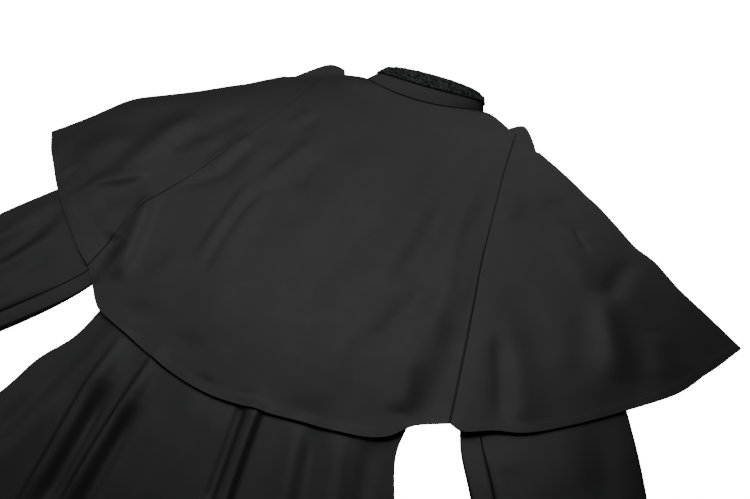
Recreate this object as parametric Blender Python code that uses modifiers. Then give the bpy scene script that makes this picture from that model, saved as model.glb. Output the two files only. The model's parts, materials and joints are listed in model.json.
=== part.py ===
"""A black cape coat dress that lies face down on a flat surface, with its back up.

Units are metres and +Z is up. The surface is at z = 0, +Y points to the collar and +X to the
right of someone who looks down on the back with the collar at the top. The tables give plan
positions in centimetres from the nape, the middle of the back neck, because that is how a cutter
would measure the laid garment. place() turns them into metres in the part's own frame.
"""

import math
from collections import namedtuple

import bmesh
import bpy

CM = 0.01
MM = 0.001

# ---------------------------------------------------------------- driving sizes, in metres
NAPE = (0.0001, 0.5350)  # where the nape lies from the middle of the whole lay
CREPE = 0.0015  # wall of the crepe
COLLAR_WALL = 0.0022  # stand collar, stiffened
BRAID_WALL = 0.0022  # braid band on the collar
SEAM = 0.0003  # gap at a seam, and between two walls that touch
NECK_SEAM = 0.0009  # gap at the neck seam, where the collar's wall leans over the neckline
ARMHOLE_SEAM = 0.0013  # gap at the armhole, whose two edges are curves in straight steps
BRAID_SEAM = 0.0010  # gap under the braid, on the stand's curved face

# Heights of the middle of each wall above the surface.
LOWEST = CREPE / 2
SECOND = LOWEST + CREPE + SEAM + 0.0001
SEAM_RISE = CREPE + SEAM  # a back edge that lies on the front edge it is sewn to
BODICE_LEVEL = 0.0070
SKIRT_LEVEL = 0.0078
CAPE_LEVEL = 0.0130
CAPE_RIM = 0.0066  # top of the rolled fold at the shoulder
CAPE_RIM_REACH = 3.6 * CM  # how fast the cape rises from that fold
CAPE_RISE_POWER = 1.25
NECK_RIM_REACH = 1.0 * CM  # and beside the collar, which pushes it up
NECK_RIM_BAND = (0.5, 4.0)  # cm from the neckline over which the first reach takes over
NECK_POINT_LIFT = 2.2 * MM
NECK_POINT_REACH = 5.0  # cm round the end of the neckline that is lifted
NECK_UNDER = 0.0026  # bodice below the cape at the neck seam
NECK_UNDER_REACH = 3.0 * CM

WAIST_Y = -40.0
CAPE_CLEAR_Y = -47.0  # the skirt front comes off the cape fronts below this line
SURFACE_Y = -56.0  # and lies on the surface below this one
SKIRT_HEM_Y = -108.0
CENTRE_SEAM = SEAM / 2 / CM

Spot = namedtuple("Spot", "x y")
Level = namedtuple("Level", "x height")
Fold = namedtuple("Fold", "x0 y0 x1 y1 lift width spread")
# A fold runs from (x0, y0) to (x1, y1). It lifts the cloth by lift mm, or sinks it where lift is
# below zero, over a half width in cm, and both have grown by the factor spread at its end.

# ---------------------------------------------------------------- cape outline, in cm
NECK_BACK = (
    Spot(-8.70, -1.00),
    Spot(-7.20, -1.75),
    Spot(-5.00, -2.45),
    Spot(-2.50, -2.85),
    Spot(0.20, -2.95),
    Spot(2.90, -2.75),
    Spot(5.60, -2.15),
    Spot(7.50, -1.50),
    Spot(8.80, -0.95),
)
SHOULDER_LEFT = (Spot(-13.9, -2.5), Spot(-12.2, -1.55), Spot(-10.5, -1.2), NECK_BACK[0])
SHOULDER_RIGHT = (NECK_BACK[-1], Spot(10.3, -1.25), Spot(12.4, -2.4), Spot(13.8, -3.2))
SEAM_LEFT = (
    SHOULDER_LEFT[0],
    Spot(-15.4, -12.0),
    Spot(-19.0, -25.0),
    Spot(-22.2, -34.0),
    Spot(-22.5, -39.0),
    Spot(-22.6, -43.8),
)
SEAM_RIGHT = (
    SHOULDER_RIGHT[-1],
    Spot(14.9, -12.0),
    Spot(17.0, -25.0),
    Spot(18.6, -33.0),
    Spot(20.9, -45.3),
)
HEM_BACK = (
    SEAM_LEFT[-1],
    Spot(-20.7, -45.5),
    Spot(-18.6, -47.6),
    Spot(-17.0, -48.5),
    Spot(-12.0, -50.0),
    Spot(-7.0, -51.4),
    Spot(-2.0, -52.1),
    Spot(3.0, -51.7),
    Spot(8.0, -51.0),
    Spot(13.0, -50.2),
    Spot(16.0, -49.0),
    Spot(18.0, -46.8),
    SEAM_RIGHT[-1],
)

# ---------------------------------------------------------------- cape side panels, in cm
Side = namedtuple("Side", "name seam shoulder fold hem flap front under_hem tip_rise")
CAPE_RIGHT = Side(
    name="right",
    seam=SEAM_RIGHT,
    shoulder=(SEAM_RIGHT[0], Spot(15.6, -4.0), Spot(17.6, -5.1)),
    fold=(
        Spot(17.6, -5.1),
        Spot(20.2, -6.7),
        Spot(23.2, -8.8),
        Spot(26.9, -11.4),
        Spot(29.9, -13.8),
        Spot(32.0, -15.6),
        Spot(34.0, -16.8),
        Spot(37.8, -19.7),
        Spot(41.4, -22.1),
        Spot(45.0, -24.6),
    ),
    hem=(
        SEAM_RIGHT[-1],
        Spot(22.4, -45.6),
        Spot(25.0, -44.3),
        Spot(28.0, -43.2),
        Spot(32.0, -40.3),
        Spot(36.0, -36.8),
        Spot(40.0, -33.0),
        Spot(42.3, -29.3),
        Spot(45.0, -24.6),
    ),
    flap=(Spot(17.6, -5.1), Spot(16.0, -2.7), Spot(14.2, -0.6), Spot(12.6, -1.7)),
    front=(Spot(12.6, -1.7), Spot(11.4, -14.0), Spot(10.6, -30.0), Spot(10.0, -44.5)),
    under_hem=(
        Spot(10.0, -44.5),
        Spot(16.0, -45.0),
        Spot(22.0, -44.5),
        Spot(28.0, -42.2),
        Spot(32.0, -39.4),
        Spot(36.0, -36.0),
        Spot(39.8, -32.3),
        Spot(42.6, -28.6),
        Spot(45.0, -24.6),
    ),
    tip_rise=1.2 * MM,
)
CAPE_LEFT = Side(
    name="left",
    seam=SEAM_LEFT,
    shoulder=(SEAM_LEFT[0], Spot(-16.6, -4.0), Spot(-19.0, -4.8)),
    fold=(
        Spot(-19.0, -4.8),
        Spot(-20.8, -6.4),
        Spot(-22.8, -8.3),
        Spot(-24.9, -9.9),
        Spot(-28.1, -12.5),
        Spot(-31.4, -14.8),
        Spot(-34.5, -16.9),
        Spot(-36.1, -18.7),
        Spot(-38.4, -22.9),
        Spot(-41.2, -27.2),
    ),
    hem=(
        SEAM_LEFT[-1],
        Spot(-25.0, -42.3),
        Spot(-28.3, -39.7),
        Spot(-31.2, -37.4),
        Spot(-34.1, -34.9),
        Spot(-37.0, -32.0),
        Spot(-39.0, -30.0),
        Spot(-41.2, -27.2),
    ),
    flap=(
        Spot(-19.0, -4.8),
        Spot(-16.8, -1.8),
        Spot(-14.8, 0.6),
        Spot(-12.6, 0.45),
        Spot(-11.9, -0.6),
    ),
    front=(Spot(-11.9, -0.6), Spot(-11.0, -14.0), Spot(-10.4, -30.0), Spot(-10.0, -44.5)),
    under_hem=(
        Spot(-10.0, -44.5),
        Spot(-16.0, -44.6),
        Spot(-21.0, -43.4),
        Spot(-25.0, -41.2),
        Spot(-28.3, -38.7),
        Spot(-31.2, -36.4),
        Spot(-34.1, -33.9),
        Spot(-37.0, -31.1),
        Spot(-41.2, -27.2),
    ),
    tip_rise=-1.4 * MM,
)

CAPE_TIP_BAND = (24.0, 44.0)  # cm from the centre over which tip_rise comes in
CAPE_TOP_SHARE = 0.56  # share of a side panel's columns on its upper layer
CAPE_ROLL_SHARE = 0.16  # and round its fold
ROLL_OUT = 0.34  # cm that the roll of the fold stands out
ROLL_OUTWARD = Spot(0.57, 0.82)  # the way out of the right fold
FLAP_DRAWN_IN = 13.0  # cm by which the grid is drawn in at the corner where the flap begins
SHOULDER_DRAWN_IN = 4.0  # and at the same corner of the upper layer

# The cape's height over what lies under it: full over the body and sleeves, less at the tips.
CAPE_LEVELS = (
    Level(-41.5, 0.0066),
    Level(-37.0, 0.0100),
    Level(-31.0, CAPE_LEVEL),
    Level(31.0, CAPE_LEVEL),
    Level(37.0, 0.0112),
    Level(45.5, 0.0088),
)
CAPE_FOLDS = (
    Fold(-27.0, -17.5, -34.0, -26.0, -2.2, 2.2, 1.2),
    Fold(-25.0, -18.5, -27.5, -32.0, 3.0, 2.4, 1.1),
    Fold(-24.0, -20.0, -24.3, -25.0, -1.6, 1.4, 1.0),
    Fold(-17.0, -17.0, -18.5, -27.0, 2.4, 1.7, 0.9),
    Fold(-22.0, -32.5, -18.6, -44.5, 4.0, 1.6, 1.3),
    Fold(-21.8, -39.5, -21.4, -46.0, -3.4, 1.5, 1.3),
    Fold(-26.0, -34.0, -29.5, -40.0, 1.8, 2.2, 1.3),
    Fold(-11.6, -24.0, -11.4, -40.0, 2.2, 1.2, 0.9),
    Fold(-9.0, -14.0, -10.4, -25.0, 1.8, 1.4, 1.0),
    Fold(-1.0, -18.0, -2.5, -34.0, 1.8, 3.0, 1.1),
    Fold(7.3, -10.0, 9.6, -38.0, 2.6, 1.6, 1.0),
    Fold(10.4, -19.0, 10.2, -32.0, -1.6, 1.4, 1.0),
    Fold(12.7, -12.0, 15.4, -39.0, 2.8, 1.5, 1.1),
    Fold(19.3, -37.5, 20.3, -46.0, -4.0, 2.0, 1.2),
    Fold(14.8, -40.0, 16.4, -48.5, 2.0, 1.2, 1.2),
    Fold(8.0, -39.0, 7.6, -50.0, 1.8, 2.0, 1.1),
    Fold(32.5, -18.0, 31.0, -24.5, -2.4, 1.6, 0.9),
    Fold(30.0, -25.0, 34.5, -34.0, 2.6, 2.0, 1.2),
    Fold(27.0, -26.0, 31.0, -36.0, -1.6, 1.8, 1.2),
    Fold(24.0, -38.0, 27.0, -43.5, 1.8, 1.6, 1.3),
)

# ---------------------------------------------------------------- bodice and skirt, in cm
SHOULDER_TIP = {-1: Spot(-18.6, -7.2), 1: Spot(18.2, -7.4)}
UNDERARM = {-1: Spot(-20.0, -22.8), 1: Spot(19.8, -22.8)}
WAIST_SIDE = {-1: Spot(-17.0, WAIST_Y), 1: Spot(16.6, WAIST_Y)}
ARMHOLE = {
    -1: (SHOULDER_TIP[-1], Spot(-18.9, -13.5), Spot(-19.25, -19.0), UNDERARM[-1]),
    1: (SHOULDER_TIP[1], Spot(18.6, -13.5), Spot(19.0, -19.0), UNDERARM[1]),
}
BODY_SIDE = {
    -1: (UNDERARM[-1], Spot(-18.6, -31.0), WAIST_SIDE[-1]),
    1: (UNDERARM[1], Spot(18.2, -31.0), WAIST_SIDE[1]),
}
BODICE_NECK_WIDER = 1.04  # the bodice neckline, clear below that of the cape
BODICE_NECK_LOWER = 0.45
BODICE_NECK = tuple(
    Spot(spot.x * BODICE_NECK_WIDER, spot.y - BODICE_NECK_LOWER) for spot in NECK_BACK
)
NECK_POINT = {-1: NECK_BACK[0], 1: NECK_BACK[-1]}
BODICE_POINT = {-1: BODICE_NECK[0], 1: BODICE_NECK[-1]}
SKIRT_SIDE = {
    -1: (
        WAIST_SIDE[-1],
        Spot(-17.8, -46.0),
        Spot(-18.3, -51.5),
        Spot(-20.1, -55.5),
        Spot(-21.2, -61.0),
        Spot(-25.4, -74.0),
        Spot(-31.4, -92.0),
        Spot(-35.6, -104.0),
    ),
    1: (
        WAIST_SIDE[1],
        Spot(17.2, -46.0),
        Spot(17.4, -50.0),
        Spot(19.2, -54.5),
        Spot(21.4, -60.0),
        Spot(26.4, -74.0),
        Spot(32.2, -92.0),
        Spot(36.0, -104.0),
    ),
}
FRONT_NECK_DEGREES = (180, 160, 140, 122, 106)  # round from the nape, on the front neckline
WAIST_DIP = 0.6  # how far the waist seam curves down at the centre
HEM_RISE = 1.0  # and how much the hem rises from there to the middle of each half
BODICE_SIDE_FADE = 3.0  # cm from its seams over which the bodice back rises to its level
SKIRT_SIDE_FADE = 4.0  # and the skirt back to its own
SKIRT_LEVEL_BAND = (44.0, 60.0)  # cm below the nape over which the skirt takes its level
SKIRT_FOLDS = (
    Fold(-14.5, -46.0, -23.5, -106.0, 1.6, 1.6, 2.2),
    Fold(-12.9, -52.0, -10.0, -68.0, 3.4, 1.3, 1.4),
    Fold(-10.2, -68.0, -12.8, -107.0, 5.0, 1.5, 1.5),
    Fold(-6.4, -50.0, -7.3, -68.0, 3.6, 1.3, 1.2),
    Fold(-7.3, -68.0, -3.2, -108.0, 4.2, 1.5, 1.5),
    Fold(-1.6, -52.0, -1.2, -70.0, 1.2, 1.2, 1.4),
    Fold(2.8, -50.0, 5.4, -62.0, 4.0, 1.2, 1.2),
    Fold(5.4, -62.0, 7.4, -108.0, 4.6, 1.5, 1.6),
    Fold(7.6, -49.0, 12.0, -66.0, 2.6, 1.4, 1.4),
    Fold(12.2, -67.0, 18.0, -107.0, 3.6, 1.8, 1.5),
    Fold(12.2, -47.0, 16.4, -62.0, 2.4, 1.5, 1.3),
    Fold(17.4, -64.0, 27.2, -106.0, 3.0, 1.8, 1.5),
)

# ---------------------------------------------------------------- sleeves, in cm
Sleeve = namedtuple("Sleeve", "outer inner folds")
SLEEVES = {
    1: Sleeve(
        outer=(
            SHOULDER_TIP[1],
            Spot(22.6, -12.8),
            Spot(27.0, -20.0),
            Spot(31.6, -28.5),
            Spot(36.2, -37.2),
            Spot(39.8, -45.2),
            Spot(44.6, -58.4),
        ),
        inner=(
            UNDERARM[1],
            Spot(20.2, -27.0),
            Spot(20.0, -32.0),
            Spot(20.4, -38.5),
            Spot(22.3, -46.0),
            Spot(25.6, -51.8),
            Spot(33.0, -64.4),
        ),
        folds=(
            Fold(33.5, -38.0, 36.8, -47.0, -1.6, 1.8, 1.2),
            Fold(25.6, -45.0, 30.5, -55.0, 1.0, 2.0, 1.2),
            Fold(33.0, -52.0, 37.5, -60.0, 1.6, 2.2, 1.1),
        ),
    ),
    -1: Sleeve(
        outer=(
            SHOULDER_TIP[-1],
            Spot(-21.8, -12.0),
            Spot(-25.4, -19.0),
            Spot(-29.6, -28.0),
            Spot(-34.3, -36.6),
            Spot(-37.6, -42.8),
            Spot(-45.0, -57.6),
        ),
        inner=(
            UNDERARM[-1],
            Spot(-20.2, -27.0),
            Spot(-19.9, -32.0),
            Spot(-19.9, -38.5),
            Spot(-21.2, -46.2),
            Spot(-25.7, -54.4),
            Spot(-33.6, -64.0),
        ),
        folds=(
            Fold(-32.2, -37.0, -36.0, -47.5, 2.0, 1.3, 1.2),
            Fold(-30.6, -38.0, -33.5, -48.0, -4.6, 1.3, 1.1),
            Fold(-28.4, -41.0, -33.0, -52.0, 1.8, 1.5, 1.2),
        ),
    ),
}
SLEEVE_EDGE = SEAM_RISE / 2 + 0.00015  # radius of the folded edge of a sleeve
SLEEVE_EDGE_OUT = 0.0030  # and of its roll below the cape
SLEEVE_UNDER_CAPE = 0.0080
SLEEVE_LEVEL = 0.0112
SLEEVE_HEAD_BAND = (0.03, 0.14)  # shares of its length over which the armhole's gap closes
SLEEVE_RUN_STEP = 0.01  # share of an edge's length to each side that gives the way out of it
SLEEVE_OPENS = (0.50, 0.70)  # over which a sleeve gains height
SLEEVE_LANDS = (0.76, 0.88)  # and over which it comes down onto the surface
SLEEVE_ARCH = 2.2  # how square the sleeve's section is over its top
SLEEVE_TURN = 0.05  # share of a sleeve's girth on each folded edge
SLEEVE_FLAT = 0.5 - SLEEVE_TURN
SLEEVE_SEAM_HEAD = 0.0064  # gap of a sleeve seam at the head, as a share of the girth
SLEEVE_SEAM_GAP = 0.0008  # and further down
SLEEVE_SEAM_BAND = (0.0, 0.35)
EDGE_SHARE = 0.001  # what counts as the edge of a grid
STATION_CLEAR = 0.012  # least share of the girth between two columns
HINDARM = 0.115  # the back sleeve seam, as a share of the width from the inner edge
HINDARM_HEAD = 0.36  # and where it meets the armhole
HINDARM_BAND = (0.0, 0.45)  # shares of the sleeve's length between the two
FOREARM = 0.62  # the front sleeve seam, under the sleeve

# ---------------------------------------------------------------- collar, in cm
HALVINGS = 30  # steps in the search for a point of the neckline
COLLAR_SEAM_HALF = 8.55
COLLAR_SEAM_MIDDLE = 0.05
COLLAR_SEAM_SIDE_Y = -0.92
COLLAR_FRONT_DIP = 3.9
FRONT_NECK_WIDER = 1.02  # the front neckline, just clear of the stand's wall
FRONT_NECK_LOWER = 0.12
COLLAR_TOP_HALF = 6.95
COLLAR_TOP_MIDDLE = 0.85
COLLAR_TOP_BACK = Spot(0.0, 0.95)
COLLAR_TOP_FRONT = Spot(0.0, -0.45)
COLLAR_TOP_HIGH = 29.0 * MM
COLLAR_TOP_LOW = 5.2 * MM
COLLAR_SIDE_HEIGHT = 6.4 * MM
COLLAR_FRONT_HEIGHT = 3.2 * MM
COLLAR_SIDE = 90.0  # degrees from the nape at which the back neckline ends
COLLAR_SIDE_BAND = (70.0, COLLAR_SIDE)  # over which the seam comes down to the side
COLLAR_FRONT_FALL = 6.0  # degrees past the side over which it comes down to the front
COLLAR_ROUND = (0.8, 0.4)  # powers that shape the rim, over the back and over the front
COLLAR_ROUND_BAND = (84.0, 100.0)
COLLAR_STEP = 3.0  # degrees and shares to each side that give the way out of the stand's face
COLLAR_STEP_UP = 0.02
COLLAR_CLOSE_TO = 179.7  # degrees from the nape at which each end of the stand stops
STAND_DEGREES = (0, 16, 32, 48, 62, 74, 82, 93, 98, 104, 114, 128, 146, 164)
BRAID_DEGREES = STAND_DEGREES[:7] + (88,) + STAND_DEGREES[7:]
BRAID_FROM = 0.60  # share of the stand's height at which the braid begins


# ---------------------------------------------------------------- curves and surfaces
def smooth(rows, share):
    """The point at this share of the length of a smooth curve through the rows."""
    lengths = [0.0]
    for before, after in zip(rows, rows[1:]):
        lengths.append(lengths[-1] + math.dist(before, after))
    target = min(max(share, 0.0), 1.0) * lengths[-1]
    i = 0
    while i < len(rows) - 2 and lengths[i + 1] < target:
        i += 1
    t = (target - lengths[i]) / (lengths[i + 1] - lengths[i])
    before = rows[max(i - 1, 0)]
    after = rows[min(i + 2, len(rows) - 1)]
    point = []
    for k in (0, 1):
        a, b, c, d = before[k], rows[i][k], rows[i + 1][k], after[k]
        bend = (2 * a - 5 * b + 4 * c - d) * t * t + (3 * b - a - 3 * c + d) * t ** 3
        point.append(b + 0.5 * ((c - a) * t + bend))
    return Spot(*point)


def mix(a, b, share):
    """A value or a plan position between a and b."""
    if isinstance(a, Spot):
        return Spot(mix(a.x, b.x, share), mix(a.y, b.y, share))
    return a + (b - a) * share


def ease(value, low, high):
    """0 below low, 1 above high and a smooth step between them."""
    share = min(max((value - low) / (high - low), 0.0), 1.0)
    return share * share * (3 - 2 * share)


def patch(top, bottom, left, right, across, down):
    """The plan position in a patch between four edge curves, each given as rows."""
    over = mix(smooth(top, across), smooth(bottom, across), down)
    side = mix(smooth(left, down), smooth(right, down), across)
    corners = mix(mix(top[0], top[-1], across), mix(bottom[0], bottom[-1], across), down)
    return Spot(over.x + side.x - corners.x, over.y + side.y - corners.y)


def to_segment(spot, start, end):
    """The distance in cm from a spot to a segment, and how far along the segment that is."""
    run = (end[0] - start[0], end[1] - start[1])
    off = (spot.x - start[0], spot.y - start[1])
    share = (off[0] * run[0] + off[1] * run[1]) / (run[0] ** 2 + run[1] ** 2)
    share = min(max(share, 0.0), 1.0)
    return math.dist(spot, (start[0] + run[0] * share, start[1] + run[1] * share)), share


def to_line(spot, rows):
    """The distance in cm from a spot to a line of rows."""
    return min(to_segment(spot, start, end)[0] for start, end in zip(rows, rows[1:]))


def folds_lift(folds, spot):
    """What the folds add to the height at a spot, in metres."""
    total = 0.0
    for fold in folds:
        distance, along = to_segment(spot, (fold.x0, fold.y0), (fold.x1, fold.y1))
        grown = 1 + (fold.spread - 1) * along
        total += fold.lift * grown * math.exp(-((distance / (fold.width * grown)) ** 2))
    return total * MM


def level_at(levels, x):
    """The height in metres at x, between the rows of a table of levels."""
    for low, high in zip(levels, levels[1:]):
        if x <= high.x:
            return mix(low.height, high.height, ease(x, low.x, high.x))
    return levels[-1].height


def place(spot, height):
    """A plan position in cm from the nape and a height, as a point in the part's frame."""
    return (NAPE[0] + spot.x * CM, NAPE[1] + spot.y * CM, height)


# ---------------------------------------------------------------- making the pieces
def cloth_material(name, colour, roughness):
    material = bpy.data.materials.new(name)
    material.use_nodes = True
    shader = material.node_tree.nodes["Principled BSDF"]
    shader.inputs["Base Color"].default_value = (*colour, 1.0)
    shader.inputs["Roughness"].default_value = roughness
    shader.inputs["Metallic"].default_value = 0.0
    material.diffuse_color = (*colour, 1.0)
    return material


def sheet(name, columns, rows, shape, wall, material, collection):
    """A grid of columns by rows cells laid on shape(across, down), with a wall round it."""
    grid = bmesh.new()
    bmesh.ops.create_grid(grid, x_segments=columns, y_segments=rows, size=0.5)
    for vert in grid.verts:
        vert.co = shape(vert.co.x + 0.5, 0.5 - vert.co.y)
    bmesh.ops.recalc_face_normals(grid, faces=grid.faces)
    mesh = bpy.data.meshes.new(name)
    grid.to_mesh(mesh)
    grid.free()
    mesh.materials.append(material)
    mesh.shade_smooth()
    piece = bpy.data.objects.new(name, mesh)
    collection.objects.link(piece)
    thickness = piece.modifiers.new("wall", "SOLIDIFY")
    thickness.thickness = wall
    thickness.offset = 0.0
    thickness.use_quality_normals = True
    return piece


# ---------------------------------------------------------------- cape
def cape_height(spot):
    """The middle of the cape's upper wall: it rises from the shoulder fold to its level."""
    side = CAPE_RIGHT if spot.x > 0 else CAPE_LEFT
    shoulder = SHOULDER_RIGHT if spot.x > 0 else SHOULDER_LEFT
    edge = min(to_line(spot, side.fold), to_line(spot, side.shoulder), to_line(spot, shoulder))
    tip = ease(abs(spot.x), *CAPE_TIP_BAND)
    neck_point = NECK_POINT[1 if spot.x > 0 else -1]
    neck = 1 - ease(math.dist(spot, neck_point), 0.0, NECK_POINT_REACH)
    rim = CAPE_RIM + side.tip_rise * tip + NECK_POINT_LIFT * neck
    level = level_at(CAPE_LEVELS, spot.x)
    beside_neck = ease(to_line(spot, NECK_BACK), *NECK_RIM_BAND)
    reach = mix(NECK_RIM_REACH, CAPE_RIM_REACH, beside_neck)
    rise = 1 - math.exp(-((edge * CM / reach) ** CAPE_RISE_POWER))
    return rim + (level - rim) * rise + folds_lift(CAPE_FOLDS, spot) * rise


def cape_back_point(across, down):
    """The back panel of the cape, between its two seams."""
    top = SHOULDER_LEFT[:-1] + NECK_BACK + SHOULDER_RIGHT[1:]
    spot = patch(top, HEM_BACK, SEAM_LEFT, SEAM_RIGHT, across, down)
    return place(spot, cape_height(spot))


def cape_side_point(side, across, down):
    """A side panel: over the back, round the shoulder fold, and flat on the surface below."""
    outward = Spot(math.copysign(ROLL_OUTWARD.x, side.fold[0].x), ROLL_OUTWARD.y)
    seam_gap = math.copysign(SEAM / CM, side.fold[0].x)
    fold = [Spot(s.x - ROLL_OUT * outward.x, s.y - ROLL_OUT * outward.y) for s in side.fold]
    if across <= CAPE_TOP_SHARE:
        share = across / CAPE_TOP_SHARE
        shoulder = side.shoulder[:-1] + (fold[0],)
        hem = side.hem[:-1] + (fold[-1],)
        spot = patch(shoulder, hem, side.seam, fold, share, down)
        spot = drawn_in(spot, outward, 1 - share, down, SHOULDER_DRAWN_IN)
        return place(Spot(spot.x + seam_gap * (1 - share), spot.y), cape_height(spot))
    turn = (across - CAPE_TOP_SHARE) / CAPE_ROLL_SHARE
    if turn < 1:
        edge = smooth(fold, down)
        top = cape_height(edge)
        radius = (top - LOWEST) / 2
        out = ROLL_OUT * math.sin(math.pi * turn)
        spot = Spot(edge.x + out * outward.x, edge.y + out * outward.y)
        return place(spot, LOWEST + radius * (1 + math.cos(math.pi * turn)))
    share = (across - CAPE_TOP_SHARE - CAPE_ROLL_SHARE) / (1 - CAPE_TOP_SHARE - CAPE_ROLL_SHARE)
    flap = (fold[0],) + side.flap[1:]
    hem = tuple(reversed(side.under_hem[:-1] + (fold[-1],)))
    spot = patch(flap, hem, fold, side.front, share, down)
    return place(drawn_in(spot, outward, share, down, FLAP_DRAWN_IN), LOWEST)


def drawn_in(spot, outward, across, down, reach):
    """Draws the grid in round the fold's upper end, where its corner is wider than half a turn.

    across and down are the shares of the patch passed since that corner.
    """
    inward = reach * math.sqrt(across * down) * (1 - across) * (1 - down)
    return Spot(spot.x - inward * outward.x, spot.y - inward * outward.y)


# ---------------------------------------------------------------- bodice
def bodice_height(spot):
    """The middle of the bodice back: level, lifted to the neck seam, and down to its seams."""
    edge = min(to_line(spot, (BODICE_POINT[side], SHOULDER_TIP[side])) for side in (-1, 1))
    for side in (-1, 1):
        edge = min(edge, to_line(spot, BODY_SIDE[side]))
    low = SECOND + SEAM_RISE
    neck = math.exp(-((to_line(spot, NECK_BACK) * CM / NECK_UNDER_REACH) ** 2))
    level = mix(BODICE_LEVEL, cape_height(spot) - NECK_UNDER, neck)
    return mix(low, level, max(ease(edge, 0.0, BODICE_SIDE_FADE), neck))


def bodice_back_point(across, down):
    shoulder_left = (SHOULDER_TIP[-1], mix(SHOULDER_TIP[-1], BODICE_POINT[-1], 0.5))
    shoulder_right = (mix(SHOULDER_TIP[1], BODICE_POINT[1], 0.5), SHOULDER_TIP[1])
    top = shoulder_left + BODICE_NECK + shoulder_right
    waist = (WAIST_SIDE[-1], Spot(0.0, WAIST_Y - WAIST_DIP), WAIST_SIDE[1])
    left = ARMHOLE[-1] + BODY_SIDE[-1][1:]
    right = ARMHOLE[1] + BODY_SIDE[1][1:]
    spot = patch(top, waist, left, right, across, down)
    return place(spot, bodice_height(spot))


def bodice_front_point(side, across, down):
    """Half of the bodice front, from the centre to the armhole and the side seam."""
    seam = side * CENTRE_SEAM
    neck = [front_neck(side, degrees) for degrees in FRONT_NECK_DEGREES]
    top = (Spot(seam, neck[0].y),) + tuple(neck[1:]) + (BODICE_POINT[side],)
    top += (mix(neck[-1], SHOULDER_TIP[side], 0.5), SHOULDER_TIP[side])
    waist = (Spot(seam, WAIST_Y - WAIST_DIP), WAIST_SIDE[side])
    centre = (top[0], waist[0])
    outer = ARMHOLE[side] + BODY_SIDE[side][1:]
    return place(patch(top, waist, centre, outer, across, down), SECOND)


def front_neck(side, degrees):
    """A spot on the front neckline, just outside the stand's own seam."""
    ring = collar_seam_spot(side * degrees)
    return Spot(ring.x * FRONT_NECK_WIDER, ring.y - FRONT_NECK_LOWER)


# ---------------------------------------------------------------- skirt
def skirt_front_height(y):
    return mix(SECOND, LOWEST, ease(-y, -CAPE_CLEAR_Y, -SURFACE_Y))


def skirt_hem(side):
    corner = SKIRT_SIDE[side][-1]
    return (Spot(0.0, SKIRT_HEM_Y), Spot(corner.x * 0.5, SKIRT_HEM_Y + HEM_RISE), corner)


def skirt_back_point(across, down):
    """The skirt back with its soft folds, which open out towards the hem."""
    waist_y = WAIST_Y - SEAM / CM
    middle = Spot(0.0, waist_y - WAIST_DIP)
    waist = (Spot(WAIST_SIDE[-1].x, waist_y), middle, Spot(WAIST_SIDE[1].x, waist_y))
    hem = tuple(reversed(skirt_hem(-1))) + skirt_hem(1)[1:]
    left = (waist[0],) + SKIRT_SIDE[-1][1:]
    right = (waist[-1],) + SKIRT_SIDE[1][1:]
    spot = patch(waist, hem, left, right, across, down)
    edge = min(to_line(spot, left), to_line(spot, right))
    low = skirt_front_height(spot.y) + SEAM_RISE
    level = mix(BODICE_LEVEL, SKIRT_LEVEL, ease(-spot.y, *SKIRT_LEVEL_BAND))
    level += folds_lift(SKIRT_FOLDS, spot)
    return place(spot, mix(low, level, ease(edge, 0.0, SKIRT_SIDE_FADE)))


def skirt_front_point(side, across, down):
    """Half of the skirt front, which lies flat on the surface under the back."""
    waist_y = WAIST_Y - SEAM / CM
    seam = side * CENTRE_SEAM
    waist = (Spot(seam, waist_y - WAIST_DIP), Spot(WAIST_SIDE[side].x, waist_y))
    hem = (Spot(seam, SKIRT_HEM_Y),) + skirt_hem(side)[1:]
    outer = (waist[-1],) + SKIRT_SIDE[side][1:]
    spot = patch(waist, hem, (waist[0], hem[0]), outer, across, down)
    return place(spot, skirt_front_height(spot.y))


# ---------------------------------------------------------------- sleeves
def sleeve_point(side, girth, along):
    """A point on the sleeve's tube.

    girth runs from 0 at the outer edge, over the top to the inner edge at 0.5, and back below.
    along runs from the armhole at 0 to the cuff at 1.
    """
    girth %= 1.0
    sleeve = SLEEVES[side]
    outer = smooth(sleeve.outer, along)
    inner = smooth(sleeve.inner, along)
    head = ARMHOLE_SEAM / CM * side * (1 - ease(along, *SLEEVE_HEAD_BAND))
    opened = ease(along, *SLEEVE_OPENS)
    base = mix(SECOND, LOWEST, ease(along, *SLEEVE_LANDS))
    radius = mix(SLEEVE_EDGE, SLEEVE_EDGE_OUT, opened)
    crown = mix(SLEEVE_UNDER_CAPE, SLEEVE_LEVEL, opened) - SECOND
    outer_flat = beside(sleeve.outer, along, -side * radius / CM)
    inner_flat = beside(sleeve.inner, along, side * radius / CM)
    if girth < SLEEVE_TURN or girth > 1 - SLEEVE_TURN:
        turn = girth if girth < 0.5 else girth - 1
        angle = turn / SLEEVE_TURN * math.pi / 2
        spot = mix(outer_flat, outer, math.cos(angle))
        height = radius * (1 + math.sin(angle))
    elif 0.5 - SLEEVE_TURN < girth < 0.5 + SLEEVE_TURN:
        angle = (0.5 - girth) / SLEEVE_TURN * math.pi / 2
        spot = mix(inner_flat, inner, math.cos(angle))
        height = radius * (1 + math.sin(angle))
    else:
        turned = girth if girth < 0.5 else 1 - girth
        part = (turned - SLEEVE_TURN) / (SLEEVE_FLAT - SLEEVE_TURN)
        if girth < 0.5:
            part = below_head(part, along)
        spot = mix(outer_flat, inner_flat, part)
        height = 0.0
        if girth < 0.5:
            arch = 1 - abs(2 * part - 1) ** SLEEVE_ARCH
            lift = crown - 2 * radius + folds_lift(sleeve.folds, spot)
            height = 2 * radius + lift * arch
    return place(Spot(spot.x + head, spot.y), base + height)


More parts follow.
